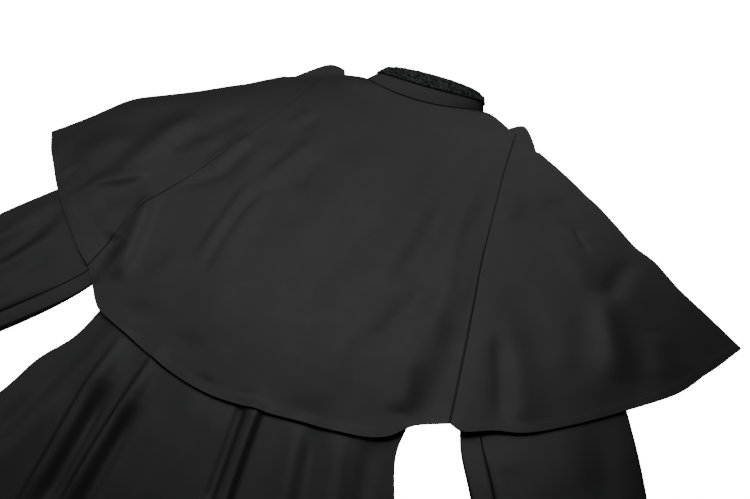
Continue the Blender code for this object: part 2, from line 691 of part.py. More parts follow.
def below_head(part, along):
    """Moves the columns of the upper face so that the back seam runs up into the armhole."""
    seam = mix(1 - HINDARM_HEAD, 1 - HINDARM, ease(along, *HINDARM_BAND))
    if part < 1 - HINDARM:
        return part * seam / (1 - HINDARM)
    return 1 - (1 - part) * (1 - seam) / HINDARM


def beside(rows, along, distance):
    """A spot that far to the left of a curve's run, in cm."""
    spot = smooth(rows, along)
    ahead, behind = smooth(rows, along + SLEEVE_RUN_STEP), smooth(rows, along - SLEEVE_RUN_STEP)
    scale = distance / math.dist(ahead, behind)
    return Spot(spot.x - scale * (ahead.y - behind.y), spot.y + scale * (ahead.x - behind.x))


def seam_allowance(across, along):
    """How far a part's edge stays from its seam, more at the head, where seams run at a slant."""
    gap = mix(SLEEVE_SEAM_HEAD, SLEEVE_SEAM_GAP, ease(along, *SLEEVE_SEAM_BAND))
    return gap * ((across < EDGE_SHARE) - (across > 1 - EDGE_SHARE))


def girth_stations(start, end, steps):
    """Shares of the girth from start to end: even on the flats, with three on each edge."""
    turns = [k * SLEEVE_TURN / 2 for k in (-2, -1, 0, 1, 2)]
    fixed = [s for t in turns for s in (t, 0.5 + t, 1 + t) if start < s < end]
    flats = [start + (end - start) * k / steps for k in range(steps + 1)]
    clear = [s for s in flats if all(abs(s - f) > STATION_CLEAR for f in fixed)]
    return sorted(set(fixed + clear + [start, end]))


# ---------------------------------------------------------------- collar
def collar_seam_spot(degrees):
    """The stand's seam in plan: along the back neckline, and below it along the front one."""
    angle = math.radians(degrees)
    x = COLLAR_SEAM_MIDDLE + COLLAR_SEAM_HALF * math.sin(angle)
    if abs(degrees) > COLLAR_SIDE:
        return Spot(x, COLLAR_SEAM_SIDE_Y + COLLAR_FRONT_DIP * math.cos(angle))
    return Spot(x, neckline_y(x) + NECK_SEAM / CM)


def neckline_y(x):
    """The y of the back neckline at x, found by halving the share of its length."""
    low, high = 0.0, 1.0
    for _ in range(HALVINGS):
        share = (low + high) / 2
        if smooth(NECK_BACK, share).x < x:
            low = share
        else:
            high = share
    return smooth(NECK_BACK, high).y


def collar_point(degrees, up):
    """A point of the middle of the stand's wall, up being 0 at the seam and 1 at the top."""
    angle = math.radians(degrees)
    seam = collar_seam_spot(degrees)
    if abs(degrees) <= COLLAR_SIDE:
        down = ease(abs(degrees), *COLLAR_SIDE_BAND)
        height = mix(cape_height(seam), COLLAR_SIDE_HEIGHT, down)
    else:
        fall = 1 - math.exp(-((abs(degrees) - COLLAR_SIDE) / COLLAR_FRONT_FALL))
        height = mix(COLLAR_SIDE_HEIGHT, COLLAR_FRONT_HEIGHT, fall)
    power = mix(*COLLAR_ROUND, ease(abs(degrees), *COLLAR_ROUND_BAND))
    facing = math.copysign(abs(math.cos(angle)) ** power, math.cos(angle))
    top = Spot(
        COLLAR_TOP_MIDDLE + COLLAR_TOP_HALF * math.sin(angle),
        mix(COLLAR_TOP_FRONT.y, COLLAR_TOP_BACK.y, ease(facing, -1.0, 1.0)),
    )
    top_height = mix(COLLAR_TOP_LOW, COLLAR_TOP_HIGH, (1 + facing) / 2)
    return place(mix(seam, top, up), mix(height, top_height, up))


def collar_outward(degrees, up):
    """The direction out of the stand's outer face."""
    ahead = collar_point(degrees + COLLAR_STEP, up)
    around = subtract(ahead, collar_point(degrees - COLLAR_STEP, up))
    above = collar_point(degrees, up + COLLAR_STEP_UP)
    rise = subtract(above, collar_point(degrees, up - COLLAR_STEP_UP))
    normal = (
        around[1] * rise[2] - around[2] * rise[1],
        around[2] * rise[0] - around[0] * rise[2],
        around[0] * rise[1] - around[1] * rise[0],
    )
    size = math.dist(normal, (0.0, 0.0, 0.0))
    return tuple(value / size for value in normal)


def subtract(a, b):
    return tuple(p - q for p, q in zip(a, b))


def collar_stations(degrees_each_way):
    """Degrees round the collar from one centre front edge to the other."""
    half = degrees_each_way + (COLLAR_CLOSE_TO,)
    return [-degrees for degrees in reversed(half[1:])] + list(half)


def stand_point(degrees, down):
    return collar_point(degrees, 1 - down)


def braid_point(degrees, down):
    """The braid band, made from the stand's points moved out of its outer face."""
    up = mix(1.0, BRAID_FROM, down)
    out = COLLAR_WALL / 2 + BRAID_SEAM + BRAID_WALL / 2
    point = collar_point(degrees, up)
    outward = collar_outward(degrees, up)
    return tuple(p + out * o for p, o in zip(point, outward))


# ---------------------------------------------------------------- the whole garment
def from_stations(stations, share):
    """The station that a grid column stands on, for a share of the columns."""
    return stations[round(share * (len(stations) - 1))]


def make_cape(cloth, collection):
    sheet("cape_back", 16, 18, cape_back_point, CREPE, cloth, collection)
    for side in (CAPE_LEFT, CAPE_RIGHT):
        sheet(
            "cape_" + side.name, 25, 18,
            lambda across, down, side=side: cape_side_point(side, across, down),
            CREPE, cloth, collection,
        )


def make_bodice(cloth, collection):
    sheet("bodice_back", 14, 16, bodice_back_point, CREPE, cloth, collection)
    for side, name in ((-1, "left"), (1, "right")):
        sheet(
            "bodice_front_" + name, 8, 16,
            lambda across, down, side=side: bodice_front_point(side, across, down),
            CREPE, cloth, collection,
        )


def make_skirt(cloth, collection):
    sheet("skirt_back", 34, 16, skirt_back_point, CREPE, cloth, collection)
    for side, name in ((-1, "left"), (1, "right")):
        sheet(
            "skirt_front_" + name, 4, 16,
            lambda across, down, side=side: skirt_front_point(side, across, down),
            CREPE, cloth, collection,
        )


def make_sleeves(cloth, collection):
    """Each sleeve in two parts, a wide upper one and a narrow one round the inner edge."""
    seam_top = 0.5 - SLEEVE_TURN - HINDARM * (SLEEVE_FLAT - SLEEVE_TURN)
    seam_below = 0.5 + SLEEVE_TURN + (1 - FOREARM) * (SLEEVE_FLAT - SLEEVE_TURN)
    parts = (
        ("upper", girth_stations(seam_below - 1, seam_top, 16)),
        ("under", girth_stations(seam_top, seam_below, 7)),
    )
    for side, name in ((-1, "left"), (1, "right")):
        for part, stations in parts:
            sheet(
                "sleeve_" + name + "_" + part, len(stations) - 1, 13,
                lambda across, down, side=side, stations=stations: sleeve_point(
                    side, from_stations(stations, across) + seam_allowance(across, down), down
                ),
                CREPE, cloth, collection,
            )


def make_collar(cloth, braid, collection):
    stand, band = collar_stations(STAND_DEGREES), collar_stations(BRAID_DEGREES)
    sheet(
        "collar_stand", len(stand) - 1, 5,
        lambda across, down: stand_point(from_stations(stand, across), down),
        COLLAR_WALL, cloth, collection,
    )
    sheet(
        "collar_braid", len(band) - 1, 2,
        lambda across, down: braid_point(from_stations(band, across), down),
        BRAID_WALL, braid, collection,
    )


def main():
    for obj in list(bpy.data.objects):
        bpy.data.objects.remove(obj, do_unlink=True)
    collection = bpy.data.collections.new("cape_coat_dress")
    bpy.context.scene.collection.children.link(collection)
    crepe = cloth_material("black_crepe", (0.024, 0.024, 0.024), 0.55)
    skirt_crepe = cloth_material("black_crepe_in_shade", (0.012, 0.013, 0.013), 0.6)
    braid = cloth_material("black_braid", (0.010, 0.010, 0.010), 0.8)
    make_cape(crepe, collection)
    make_bodice(skirt_crepe, collection)
    make_skirt(skirt_crepe, collection)
    make_sleeves(skirt_crepe, collection)
    make_collar(crepe, braid, collection)


main()
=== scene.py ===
"""The looks of a black cape coat dress that lies face down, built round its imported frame.

Plan positions are in centimetres from the nape, the middle of the back neck: +x is to the right
of someone who looks down on the back with the collar at the top, and +y points to the collar.
Heights are in metres above the surface. Lay.place turns both into the frame's own metres.
"""

import json
import logging
import math
from dataclasses import dataclass, field
from enum import Enum
from typing import Callable, Dict, List, Sequence, Tuple, Union

import bmesh
import bpy
import numpy as np
from mathutils import Euler, Matrix, Vector

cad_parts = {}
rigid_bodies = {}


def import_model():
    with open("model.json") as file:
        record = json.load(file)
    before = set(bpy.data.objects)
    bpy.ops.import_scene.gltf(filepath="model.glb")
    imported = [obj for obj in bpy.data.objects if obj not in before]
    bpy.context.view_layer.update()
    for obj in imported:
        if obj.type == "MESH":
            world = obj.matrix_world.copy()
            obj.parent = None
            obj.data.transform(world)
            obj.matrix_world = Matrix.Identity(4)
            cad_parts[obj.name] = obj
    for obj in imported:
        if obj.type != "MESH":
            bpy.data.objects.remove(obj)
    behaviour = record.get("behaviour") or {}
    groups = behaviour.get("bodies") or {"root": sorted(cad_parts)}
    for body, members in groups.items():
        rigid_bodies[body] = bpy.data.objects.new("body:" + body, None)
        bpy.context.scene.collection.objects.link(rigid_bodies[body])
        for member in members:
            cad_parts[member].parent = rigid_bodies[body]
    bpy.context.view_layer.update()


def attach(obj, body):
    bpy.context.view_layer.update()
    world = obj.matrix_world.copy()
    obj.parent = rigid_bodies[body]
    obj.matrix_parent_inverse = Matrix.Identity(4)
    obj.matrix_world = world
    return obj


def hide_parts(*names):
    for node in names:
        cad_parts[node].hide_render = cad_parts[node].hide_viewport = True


LOG = logging.getLogger("coat_dress")

Array = np.ndarray
Rows = Sequence[Sequence[float]]
Colour = Tuple[float, float, float]

CM = 0.01
MM = 0.001
BODY = "root"


class Side(Enum):
    """The garment's sides, as seen by someone who looks down on its back."""

    LEFT = -1
    RIGHT = 1

    @property
    def word(self) -> str:
        """The side's name as the nodes have it."""
        return self.name.lower()


class Slot(Enum):
    """The record's material slots."""

    CAPE = "cape_crepe"
    DRESS = "dress_crepe"
    BRAID = "braid"


# ---------------------------------------------------------------- curves and surfaces
def mix(a: Array, b: Array, share: Array) -> Array:
    """A value between a and b."""
    return a + (b - a) * share


def ease(value: Array, low: float, high: float) -> Array:
    """0 below low, 1 above high and a smooth step between them."""
    share = np.clip((np.asarray(value, float) - low) / (high - low), 0.0, 1.0)
    return share * share * (3 - 2 * share)


def smooth(rows: Rows, share: Array) -> Array:
    """Points on a smooth curve through the rows.

    Args:
        rows: Plan positions in cm.
        share: Shares of the curve's length, from 0 to 1.

    Returns:
        One plan position for each share.
    """
    points = np.array([(row[0], row[1]) for row in rows], float)
    steps = np.linalg.norm(np.diff(points, axis=0), axis=1)
    lengths = np.concatenate(([0.0], np.cumsum(steps)))
    target = np.clip(np.asarray(share, float), 0.0, 1.0) * lengths[-1]
    i = np.clip(np.searchsorted(lengths, target) - 1, 0, len(points) - 2)
    t = ((target - lengths[i]) / (lengths[i + 1] - lengths[i]))[:, None]
    a = points[np.maximum(i - 1, 0)]
    b = points[i]
    c = points[i + 1]
    d = points[np.minimum(i + 2, len(points) - 1)]
    bend = (2 * a - 5 * b + 4 * c - d) * t**2 + (3 * b - a - 3 * c + d) * t**3
    return b + 0.5 * ((c - a) * t + bend)


def patch(top: Rows, bottom: Rows, left: Rows, right: Rows, across: Array, down: Array) -> Array:
    """Plan positions in a patch between four edge curves.

    Args:
        top: Rows of the edge at down 0.
        bottom: Rows of the edge at down 1.
        left: Rows of the edge at across 0.
        right: Rows of the edge at across 1.
        across: Shares across the patch.
        down: Shares down the patch.

    Returns:
        One plan position for each pair of shares.
    """
    u = across[:, None]
    v = down[:, None]
    over = mix(smooth(top, across), smooth(bottom, across), v)
    side = mix(smooth(left, down), smooth(right, down), u)
    upper = mix(np.array(top[0], float), np.array(top[-1], float), u)
    lower = mix(np.array(bottom[0], float), np.array(bottom[-1], float), u)
    return over + side - mix(upper, lower, v)


def to_line(spots: Array, rows: Rows) -> Array:
    """The distance in cm from each spot to a line of rows."""
    return nearest(spots, np.array([(row[0], row[1]) for row in rows], float))[0]


def nearest(spots: Array, points: Array) -> Tuple[Array, Array, Array]:
    """How spots lie to a line of points.

    Args:
        spots: Plan positions.
        points: The line's points.

    Returns:
        The distance, the share of the line's segments passed, and the side: 1 right, -1 left.
    """
    best = np.full(len(spots), np.inf)
    along = np.zeros(len(spots))
    side = np.ones(len(spots))
    count = len(points) - 1
    for k in range(count):
        run = points[k + 1] - points[k]
        off = spots - points[k]
        share = np.clip(off @ run / max(run @ run, 1e-12), 0.0, 1.0)
        gap = off - share[:, None] * run
        distance = np.hypot(gap[:, 0], gap[:, 1])
        closer = distance < best
        best = np.where(closer, distance, best)
        along = np.where(closer, (k + share) / count, along)
        cross = run[0] * off[:, 1] - run[1] * off[:, 0]
        side = np.where(closer, np.where(cross < 0, 1.0, -1.0), side)
    return best, along, side


def crowded(share: Array, strength: float = 0.85) -> Array:
    """Shares moved so that they lie closer together at both ends."""
    return share - strength * np.sin(2 * math.pi * share) / (2 * math.pi)


CREASE_SAMPLES = 15
CREASE_REACH = 3.2  # half widths beyond which a crease is no longer felt
CREASE_END = 0.12  # share of its height that a crease keeps at its ends


@dataclass(frozen=True)
class Crease:
    """A soft ridge or trough along a curve."""

    path: Rows
    lift: float  # mm, below zero for a trough
    width: float  # half width in cm
    lean: float = 0.0  # above zero, the cloth falls off faster on the right of the path
    taper: float = 0.3  # share of the path over which each end dies away
    spread: float = 1.0  # how much wider and higher it is at its end

    def height(self, spots: Array) -> Array:
        """What the crease adds to the height at each spot, in metres."""
        line = smooth(self.path, np.linspace(0.0, 1.0, CREASE_SAMPLES))
        reach = CREASE_REACH * self.width * max(1.0, self.spread) * (1 + abs(self.lean))
        low = line.min(axis=0) - reach
        high = line.max(axis=0) + reach
        near = np.all((spots > low) & (spots < high), axis=1)
        added = np.zeros(len(spots))
        if not near.any():
            return added
        distance, along, side = nearest(spots[near], line)
        grown = 1 + (self.spread - 1) * along
        width = self.width * grown * (1 - self.lean * side)
        ends = ease(along, 0.0, self.taper) * (1 - ease(along, 1 - self.taper, 1.0))
        body = mix(CREASE_END, 1.0, ends)
        added[near] = self.lift * grown * body * np.exp(-((distance / width) ** 2))
        return added * MM


def creased(creases: Sequence[Crease], spots: Array) -> Array:
    """What all these creases add to the height at each spot, in metres."""
    total = np.zeros(len(spots))
    for crease in creases:
        total += crease.height(spots)
    return total


def swell(spots: Array, size: float, amount: float, turn: float = 0.0) -> Array:
    """The slight unevenness of cloth that lies loose.

    Args:
        spots: Plan positions in cm.
        size: Distance in cm from one swell to the next.
        amount: Height of the swells in mm.
        turn: Radians by which this cloth's swells are turned and moved.

    Returns:
        Heights in metres.
    """
    x = spots[:, 0] * math.cos(turn) + spots[:, 1] * math.sin(turn)
    y = spots[:, 1] * math.cos(turn) - spots[:, 0] * math.sin(turn)
    k = 2 * math.pi / size
    waves = np.sin(k * x + 1.7 * np.sin(0.37 * k * y + turn))
    waves += 0.7 * np.sin(0.61 * k * y + 1.3 * np.sin(0.53 * k * x + 2.1) + 0.8)
    waves += 0.45 * np.sin(1.31 * k * (0.8 * x + 0.6 * y) + 4.0 + turn)
    return waves * amount * MM / 2.15


# ---------------------------------------------------------------- finishes
@dataclass(frozen=True)
class CrepeFinish:
    """A smooth crepe: two near colours, a fine pebbled grain and a soft sheen."""

    name: str
    colour: Colour
    deep: Colour
    roughness: float = 0.45
    specular: float = 0.5
    sheen: float = 0.02
    sheen_roughness: float = 0.45
    grain: float = 1500.0  # grains per metre
    bump: float = 0.35
    bump_depth: float = 0.00006
    roughness_spread: float = 0.04
    tone_pattern: Tuple[float, float, float] = (22.0, 3.0, 0.55)  # scale, detail, roughness
    worn_pattern: Tuple[float, float, float] = (60.0, 2.0, 0.5)
    grain_pattern: Tuple[float, float] = (2.0, 0.6)  # detail, roughness

    def material(self) -> bpy.types.Material:
        """Makes the material."""
        material = bpy.data.materials.new(self.name)
        material.use_nodes = True
        tree = material.node_tree
        shader = tree.nodes["Principled BSDF"]
        place = tree.nodes.new("ShaderNodeTexCoord")
        shade = noise(tree, place.outputs["Object"], *self.tone_pattern)
        tone = tree.nodes.new("ShaderNodeMix")
        tone.data_type = "RGBA"
        tone.inputs["A"].default_value = (*self.deep, 1.0)
        tone.inputs["B"].default_value = (*self.colour, 1.0)
        tree.links.new(shade, tone.inputs["Factor"])
        tree.links.new(tone.outputs["Result"], shader.inputs["Base Color"])
        worn = noise(tree, place.outputs["Object"], *self.worn_pattern)
        rough = tree.nodes.new("ShaderNodeMapRange")
        rough.inputs["To Min"].default_value = self.roughness - self.roughness_spread
        rough.inputs["To Max"].default_value = self.roughness + self.roughness_spread
        tree.links.new(worn, rough.inputs["Value"])
        tree.links.new(rough.outputs["Result"], shader.inputs["Roughness"])
        grain = noise(tree, place.outputs["Object"], self.grain, *self.grain_pattern)
        bump = tree.nodes.new("ShaderNodeBump")
        bump.inputs["Strength"].default_value = self.bump
        bump.inputs["Distance"].default_value = self.bump_depth
        tree.links.new(grain, bump.inputs["Height"])
        tree.links.new(bump.outputs["Normal"], shader.inputs["Normal"])
        shader.inputs["Specular IOR Level"].default_value = self.specular
        shader.inputs["Sheen Weight"].default_value = self.sheen
        shader.inputs["Sheen Roughness"].default_value = self.sheen_roughness
        shader.inputs["Sheen Tint"].default_value = (1.0, 1.0, 1.0, 1.0)
        material.diffuse_color = (*self.colour, 1.0)
        return material


@dataclass(frozen=True)
class ThreadFinish:
    """Twisted yarn: a dull colour that varies from strand to strand, with fine ridges."""

    name: str
    colour: Colour
    deep: Colour
    roughness: float = 0.7
    specular: float = 0.35
    strands: float = 260.0  # colour changes per metre
    twist: float = 2400.0  # ridges per metre
    bump: float = 0.5
    bump_depth: float = 0.0001
    shade_band: Tuple[float, float] = (0.35, 0.65)  # from the deep colour to the other
    pattern: Tuple[float, float] = (1.0, 0.5)  # detail, roughness

    def material(self) -> bpy.types.Material:
        """Makes the material."""
        material = bpy.data.materials.new(self.name)
        material.use_nodes = True
        tree = material.node_tree
        shader = tree.nodes["Principled BSDF"]
        place = tree.nodes.new("ShaderNodeTexCoord")
        shade = noise(tree, place.outputs["Object"], self.strands, *self.pattern)
        ramp = tree.nodes.new("ShaderNodeValToRGB")
        for element, position, colour in zip(
            ramp.color_ramp.elements, self.shade_band, (self.deep, self.colour)
        ):
            element.position = position
            element.color = (*colour, 1.0)
        tree.links.new(shade, ramp.inputs["Fac"])
        tree.links.new(ramp.outputs["Color"], shader.inputs["Base Color"])
        ridges = noise(tree, place.outputs["Object"], self.twist, *self.pattern)
        bump = tree.nodes.new("ShaderNodeBump")
        bump.inputs["Strength"].default_value = self.bump
        bump.inputs["Distance"].default_value = self.bump_depth
        tree.links.new(ridges, bump.inputs["Height"])
        tree.links.new(bump.outputs["Normal"], shader.inputs["Normal"])
        shader.inputs["Roughness"].default_value = self.roughness
        shader.inputs["Specular IOR Level"].default_value = self.specular
        material.diffuse_color = (*self.colour, 1.0)
        return material


def noise(
    tree: bpy.types.NodeTree, place: bpy.types.NodeSocket, scale: float, detail: float, rough: float
) -> bpy.types.NodeSocket:
    """Adds a noise texture and returns its value.

    Args:
        tree: The material's nodes.
        place: The coordinates it reads.
        scale: Size of the pattern, in features per metre.
        detail: Number of finer layers.
        rough: Strength of the finer layers.

    Returns:
        The socket that holds its value.
    """
    node = tree.nodes.new("ShaderNodeTexNoise")
    node.inputs["Scale"].default_value = scale
    node.inputs["Detail"].default_value = detail
    node.inputs["Roughness"].default_value = rough
    tree.links.new(place, node.inputs["Vector"])
    return node.outputs["Fac"]


CAPE_CREPE = CrepeFinish("cape_crepe", (0.0165, 0.0166, 0.0166), (0.0135, 0.0137, 0.0137))
# The dress crepe is much darker than the cape crepe: partly the dress cloth's own tone, partly
# painted shade for the light that falls off over the skirt and sleeves.
DRESS_CREPE_WITH_PAINTED_SHADE = CrepeFinish("dress_crepe", (0.0060, 0.0066, 0.0064), (0.0046, 0.0052, 0.0050))
BRAID_YARN = ThreadFinish("braid_yarn", (0.110, 0.115, 0.113), (0.018, 0.019, 0.019))
SEWING_THREAD = ThreadFinish("sewing_thread", (0.016, 0.016, 0.017), (0.010, 0.010, 0.011))


@dataclass
class Wardrobe:
    """The finishes in use, each made once."""

    made: Dict[str, bpy.types.Material] = field(default_factory=dict)

    def get(self, finish: Union[CrepeFinish, ThreadFinish]) -> bpy.types.Material:
        """The material of a finish."""
        if finish.name not in self.made:
            self.made[finish.name] = finish.material()
        return self.made[finish.name]


# ---------------------------------------------------------------- cloth pieces
@dataclass(frozen=True)
class Lay:
    """Where the garment lies in the frame, and the heights of its layers."""

    nape: Tuple[float, float] = (0.0001, 0.5350)
    wall: float = 0.0013  # the crepe with its turnings
    lowest: float = 0.00075  # middle of a wall that lies on the surface
    second: float = 0.00265  # and of one that lies on that
    seam: float = 0.0003
    seam_rise: float = 0.0018  # a back edge that lies on the front edge it is sewn to

    def place(self, spots: Array, heights: Array) -> Array:
        """Plan positions and heights as points in the frame's metres."""
        x = self.nape[0] + spots[:, 0] * CM
        y = self.nape[1] + spots[:, 1] * CM
        return np.column_stack((x, y, np.broadcast_to(heights, x.shape)))


LAY = Lay()


def piece_of(
    grid: bmesh.types.BMesh, name: str, material: bpy.types.Material
) -> bpy.types.Object:
    """Puts a finished mesh into the scene as a smooth piece of one material."""
    mesh = bpy.data.meshes.new(name)
    grid.to_mesh(mesh)
    grid.free()
    mesh.materials.append(material)
    mesh.shade_smooth()
    piece = bpy.data.objects.new(name, mesh)
    bpy.context.scene.collection.objects.link(piece)
    return piece


def cloth_sheet(
    name: str,
    columns: int,
    rows: int,
    shape: Callable[[Array, Array], Array],
    wall: float,
    material: bpy.types.Material,
) -> bpy.types.Object:
    """A sheet of cloth with a wall.

    Args:
        name: The piece's name.
        columns: Cells across.
        rows: Cells down.
        shape: Gives points in metres for shares across and down.
        wall: Thickness in metres.
        material: The finish.

    Returns:
        The piece, in place.
    """
    grid = bmesh.new()
    bmesh.ops.create_grid(grid, x_segments=columns, y_segments=rows, size=0.5)
    grid.verts.ensure_lookup_table()
    flat = np.array([vert.co[:2] for vert in grid.verts])
    across = np.round((flat[:, 0] + 0.5) * columns) / columns
    down = np.round((0.5 - flat[:, 1]) * rows) / rows
    points = shape(across, down)
    for vert, point in zip(grid.verts, points):
        vert.co = point
    bmesh.ops.recalc_face_normals(grid, faces=grid.faces)
    piece = piece_of(grid, name, material)
    thickness = piece.modifiers.new("wall", "SOLIDIFY")
    thickness.thickness = wall
    thickness.offset = 0.0
    thickness.use_quality_normals = True
    return piece


def dress(piece: bpy.types.Object, slot: Slot, *nodes: str) -> bpy.types.Object:
    """Makes a piece ride on the garment and hides the nodes it stands for."""
    if nodes:
        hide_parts(*nodes)
    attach(piece, BODY)
    LOG.info("made %s for %s", piece.name, ", ".join(nodes) or "no node")
    return piece


def bodies_mesh(
    name: str, parts: Sequence[Matrix], detail: int, material: bpy.types.Material
) -> bpy.types.Object:
    """Many small round bodies in one mesh.

    Args:
        name: The piece's name.
        parts: Where each body is, how it is turned and how far it is stretched.
        detail: Subdivisions of each body's sphere.
        material: The finish.

    Returns:
        The piece, in place.
    """
    grid = bmesh.new()
    for part in parts:
        bmesh.ops.create_icosphere(grid, subdivisions=detail, radius=1.0, matrix=part)
    return piece_of(grid, name, material)


def aimed(point: Vector, along: Vector, out: Vector, sizes: Tuple[float, float, float]) -> Matrix:
    """The place of a small body.

    Args:
        point: Its middle.
        along: The way its length runs.
        out: The way that it stands out of the cloth.
        sizes: Its half length, half width and half height.

    Returns:
        Its matrix.
    """
    first = along.normalized()
    third = (out - out.dot(first) * first).normalized()
    second = third.cross(first)
    turned = Matrix((first, second, third)).transposed().to_4x4()
    return Matrix.Translation(point) @ turned @ Matrix.Diagonal((*sizes, 1.0))


def stitch_row(
    path: Array, heights: Array, pitch: float, sizes: Tuple[float, float, float]
) -> List[Matrix]:
    """A row of stitches along a path.

    Args:
        path: Plan positions in cm.
        heights: The cloth's upper face at each, in metres.
        pitch: Distance in metres from one stitch to the next.
        sizes: Half length, half width and half height of a stitch.

    Returns:
        The place of each stitch.
    """
    points = LAY.place(path, heights)
    steps = np.linalg.norm(np.diff(points, axis=0), axis=1)
    lengths = np.concatenate(([0.0], np.cumsum(steps)))
    places = np.arange(pitch / 2, lengths[-1], pitch)
    middle, ahead, behind = (
        np.column_stack([np.interp(places + step, lengths, points[:, k]) for k in range(3)])
        for step in (0.0, pitch / 3, -pitch / 3)
    )
    up = Vector((0.0, 0.0, 1.0))
    rows = zip(middle, ahead, behind)
    return [aimed(Vector(m), Vector(a) - Vector(b), up, sizes) for m, a, b in rows]


def drawn_in(outward: Array, across: Array, down: Array, reach: float) -> Array:
    """How a grid is drawn in at a corner that is wider than half a turn.

    Args:
        outward: The way out of the corner, in plan.
        across: Shares passed across the patch since the corner.
        down: Shares passed down it.
        reach: How far it is drawn in, in cm.

    Returns:
        What to add to each plan position.
    """
    share = np.sqrt(across * down) * (1 - across) * (1 - down)
    return -reach * share[:, None] * outward


# ---------------------------------------------------------------- cape
NECK_BACK: Rows = (
    (-8.70, -1.00), (-7.20, -1.75), (-5.00, -2.45), (-2.50, -2.85), (0.20, -2.95),
    (2.90, -2.75), (5.60, -2.15), (7.50, -1.50), (8.80, -0.95),
)


@dataclass(frozen=True)
class CapeSide:
    """The outlines of one side panel of the cape, in cm from the nape."""

    side: Side
    shoulder: Rows  # from the collar to the seam
    seam: Rows
    over: Rows  # from the seam to the fold
    fold: Rows
    hem: Rows
    flap: Rows
    front: Rows
    under_hem: Rows
    tip_rise: float  # metres by which the fold stands higher at the tip
    cloth_area: float  # square metres of the panel as it was cut


CAPE_RIGHT = CapeSide(
    side=Side.RIGHT,
    shoulder=((8.80, -0.95), (10.3, -1.25), (12.4, -2.4), (13.8, -3.2)),
    seam=((13.8, -3.2), (14.9, -12.0), (17.0, -25.0), (18.6, -33.0), (20.9, -45.3)),
    over=((13.8, -3.2), (15.6, -4.0), (17.6, -5.1)),
    fold=(
        (17.6, -5.1), (20.2, -6.7), (23.2, -8.7), (24.8, -9.9), (26.9, -11.3), (29.9, -13.8),
        (32.0, -15.6), (33.4, -16.3), (34.8, -17.1), (37.8, -19.7), (41.4, -22.1),
        (45.0, -24.6),
    ),
    hem=(
        (20.9, -45.3), (22.4, -45.6), (25.0, -44.3), (28.0, -43.2), (32.0, -40.3),
        (36.0, -36.8), (40.0, -33.0), (42.3, -29.3), (45.0, -24.6),
    ),
    flap=((17.6, -5.1), (16.0, -2.7), (14.2, -0.6), (12.6, -1.7)),
    front=((12.6, -1.7), (11.4, -14.0), (10.6, -30.0), (10.0, -44.5)),
    under_hem=(
        (10.0, -44.5), (16.0, -45.0), (22.0, -44.5), (28.0, -42.2), (32.0, -39.4),
        (36.0, -36.0), (39.8, -32.3), (42.6, -28.6), (45.0, -24.6),
    ),
    tip_rise=1.2 * MM,
    cloth_area=0.164,
)
CAPE_LEFT = CapeSide(
    side=Side.LEFT,
    shoulder=((-8.70, -1.00), (-10.5, -1.2), (-12.2, -1.55), (-13.9, -2.5)),
    seam=(
        (-13.9, -2.5), (-15.4, -12.0), (-19.0, -25.0), (-22.2, -34.0), (-22.5, -39.0),
        (-22.6, -43.8),
    ),
    over=((-13.9, -2.5), (-16.6, -4.0), (-19.0, -4.8)),
    fold=(
        (-19.0, -4.8), (-20.8, -6.4), (-22.8, -8.3), (-24.9, -9.9), (-28.1, -12.5),
        (-31.4, -14.8), (-34.5, -16.9), (-36.1, -18.7), (-38.4, -22.9), (-41.2, -27.2),
    ),
    hem=(
        (-22.6, -43.8), (-25.0, -42.3), (-28.3, -39.7), (-31.2, -37.4), (-34.1, -34.9),
        (-37.0, -32.0), (-39.0, -30.0), (-41.2, -27.2),
    ),
    flap=((-19.0, -4.8), (-16.8, -1.8), (-14.8, 0.6), (-12.6, 0.45), (-11.9, -0.6)),
    front=((-11.9, -0.6), (-11.0, -14.0), (-10.4, -30.0), (-10.0, -44.5)),
    under_hem=(
        (-10.0, -44.5), (-16.0, -44.6), (-21.0, -43.4), (-25.0, -41.2), (-28.3, -38.7),
        (-31.2, -36.4), (-34.1, -33.9), (-37.0, -31.1), (-41.2, -27.2),
    ),
    tip_rise=-1.4 * MM,
    cloth_area=0.140,
)
HEM_BACK: Rows = (
    (-22.6, -43.8), (-20.7, -45.5), (-18.6, -47.6), (-17.0, -48.5), (-12.0, -50.0),
    (-7.0, -51.4), (-2.0, -52.1), (3.0, -51.7), (8.0, -51.0), (13.0, -50.2), (16.0, -49.0),
    (18.0, -46.8), (20.9, -45.3),
)

# The cape's height over what lies under it: full over the body and sleeves, less at the tips.
CAPE_LEVELS: Rows = (
    (-41.5, 0.0066), (-37.0, 0.0100), (-31.0, 0.0130), (31.0, 0.0130), (37.0, 0.0112),
    (45.5, 0.0088),
)

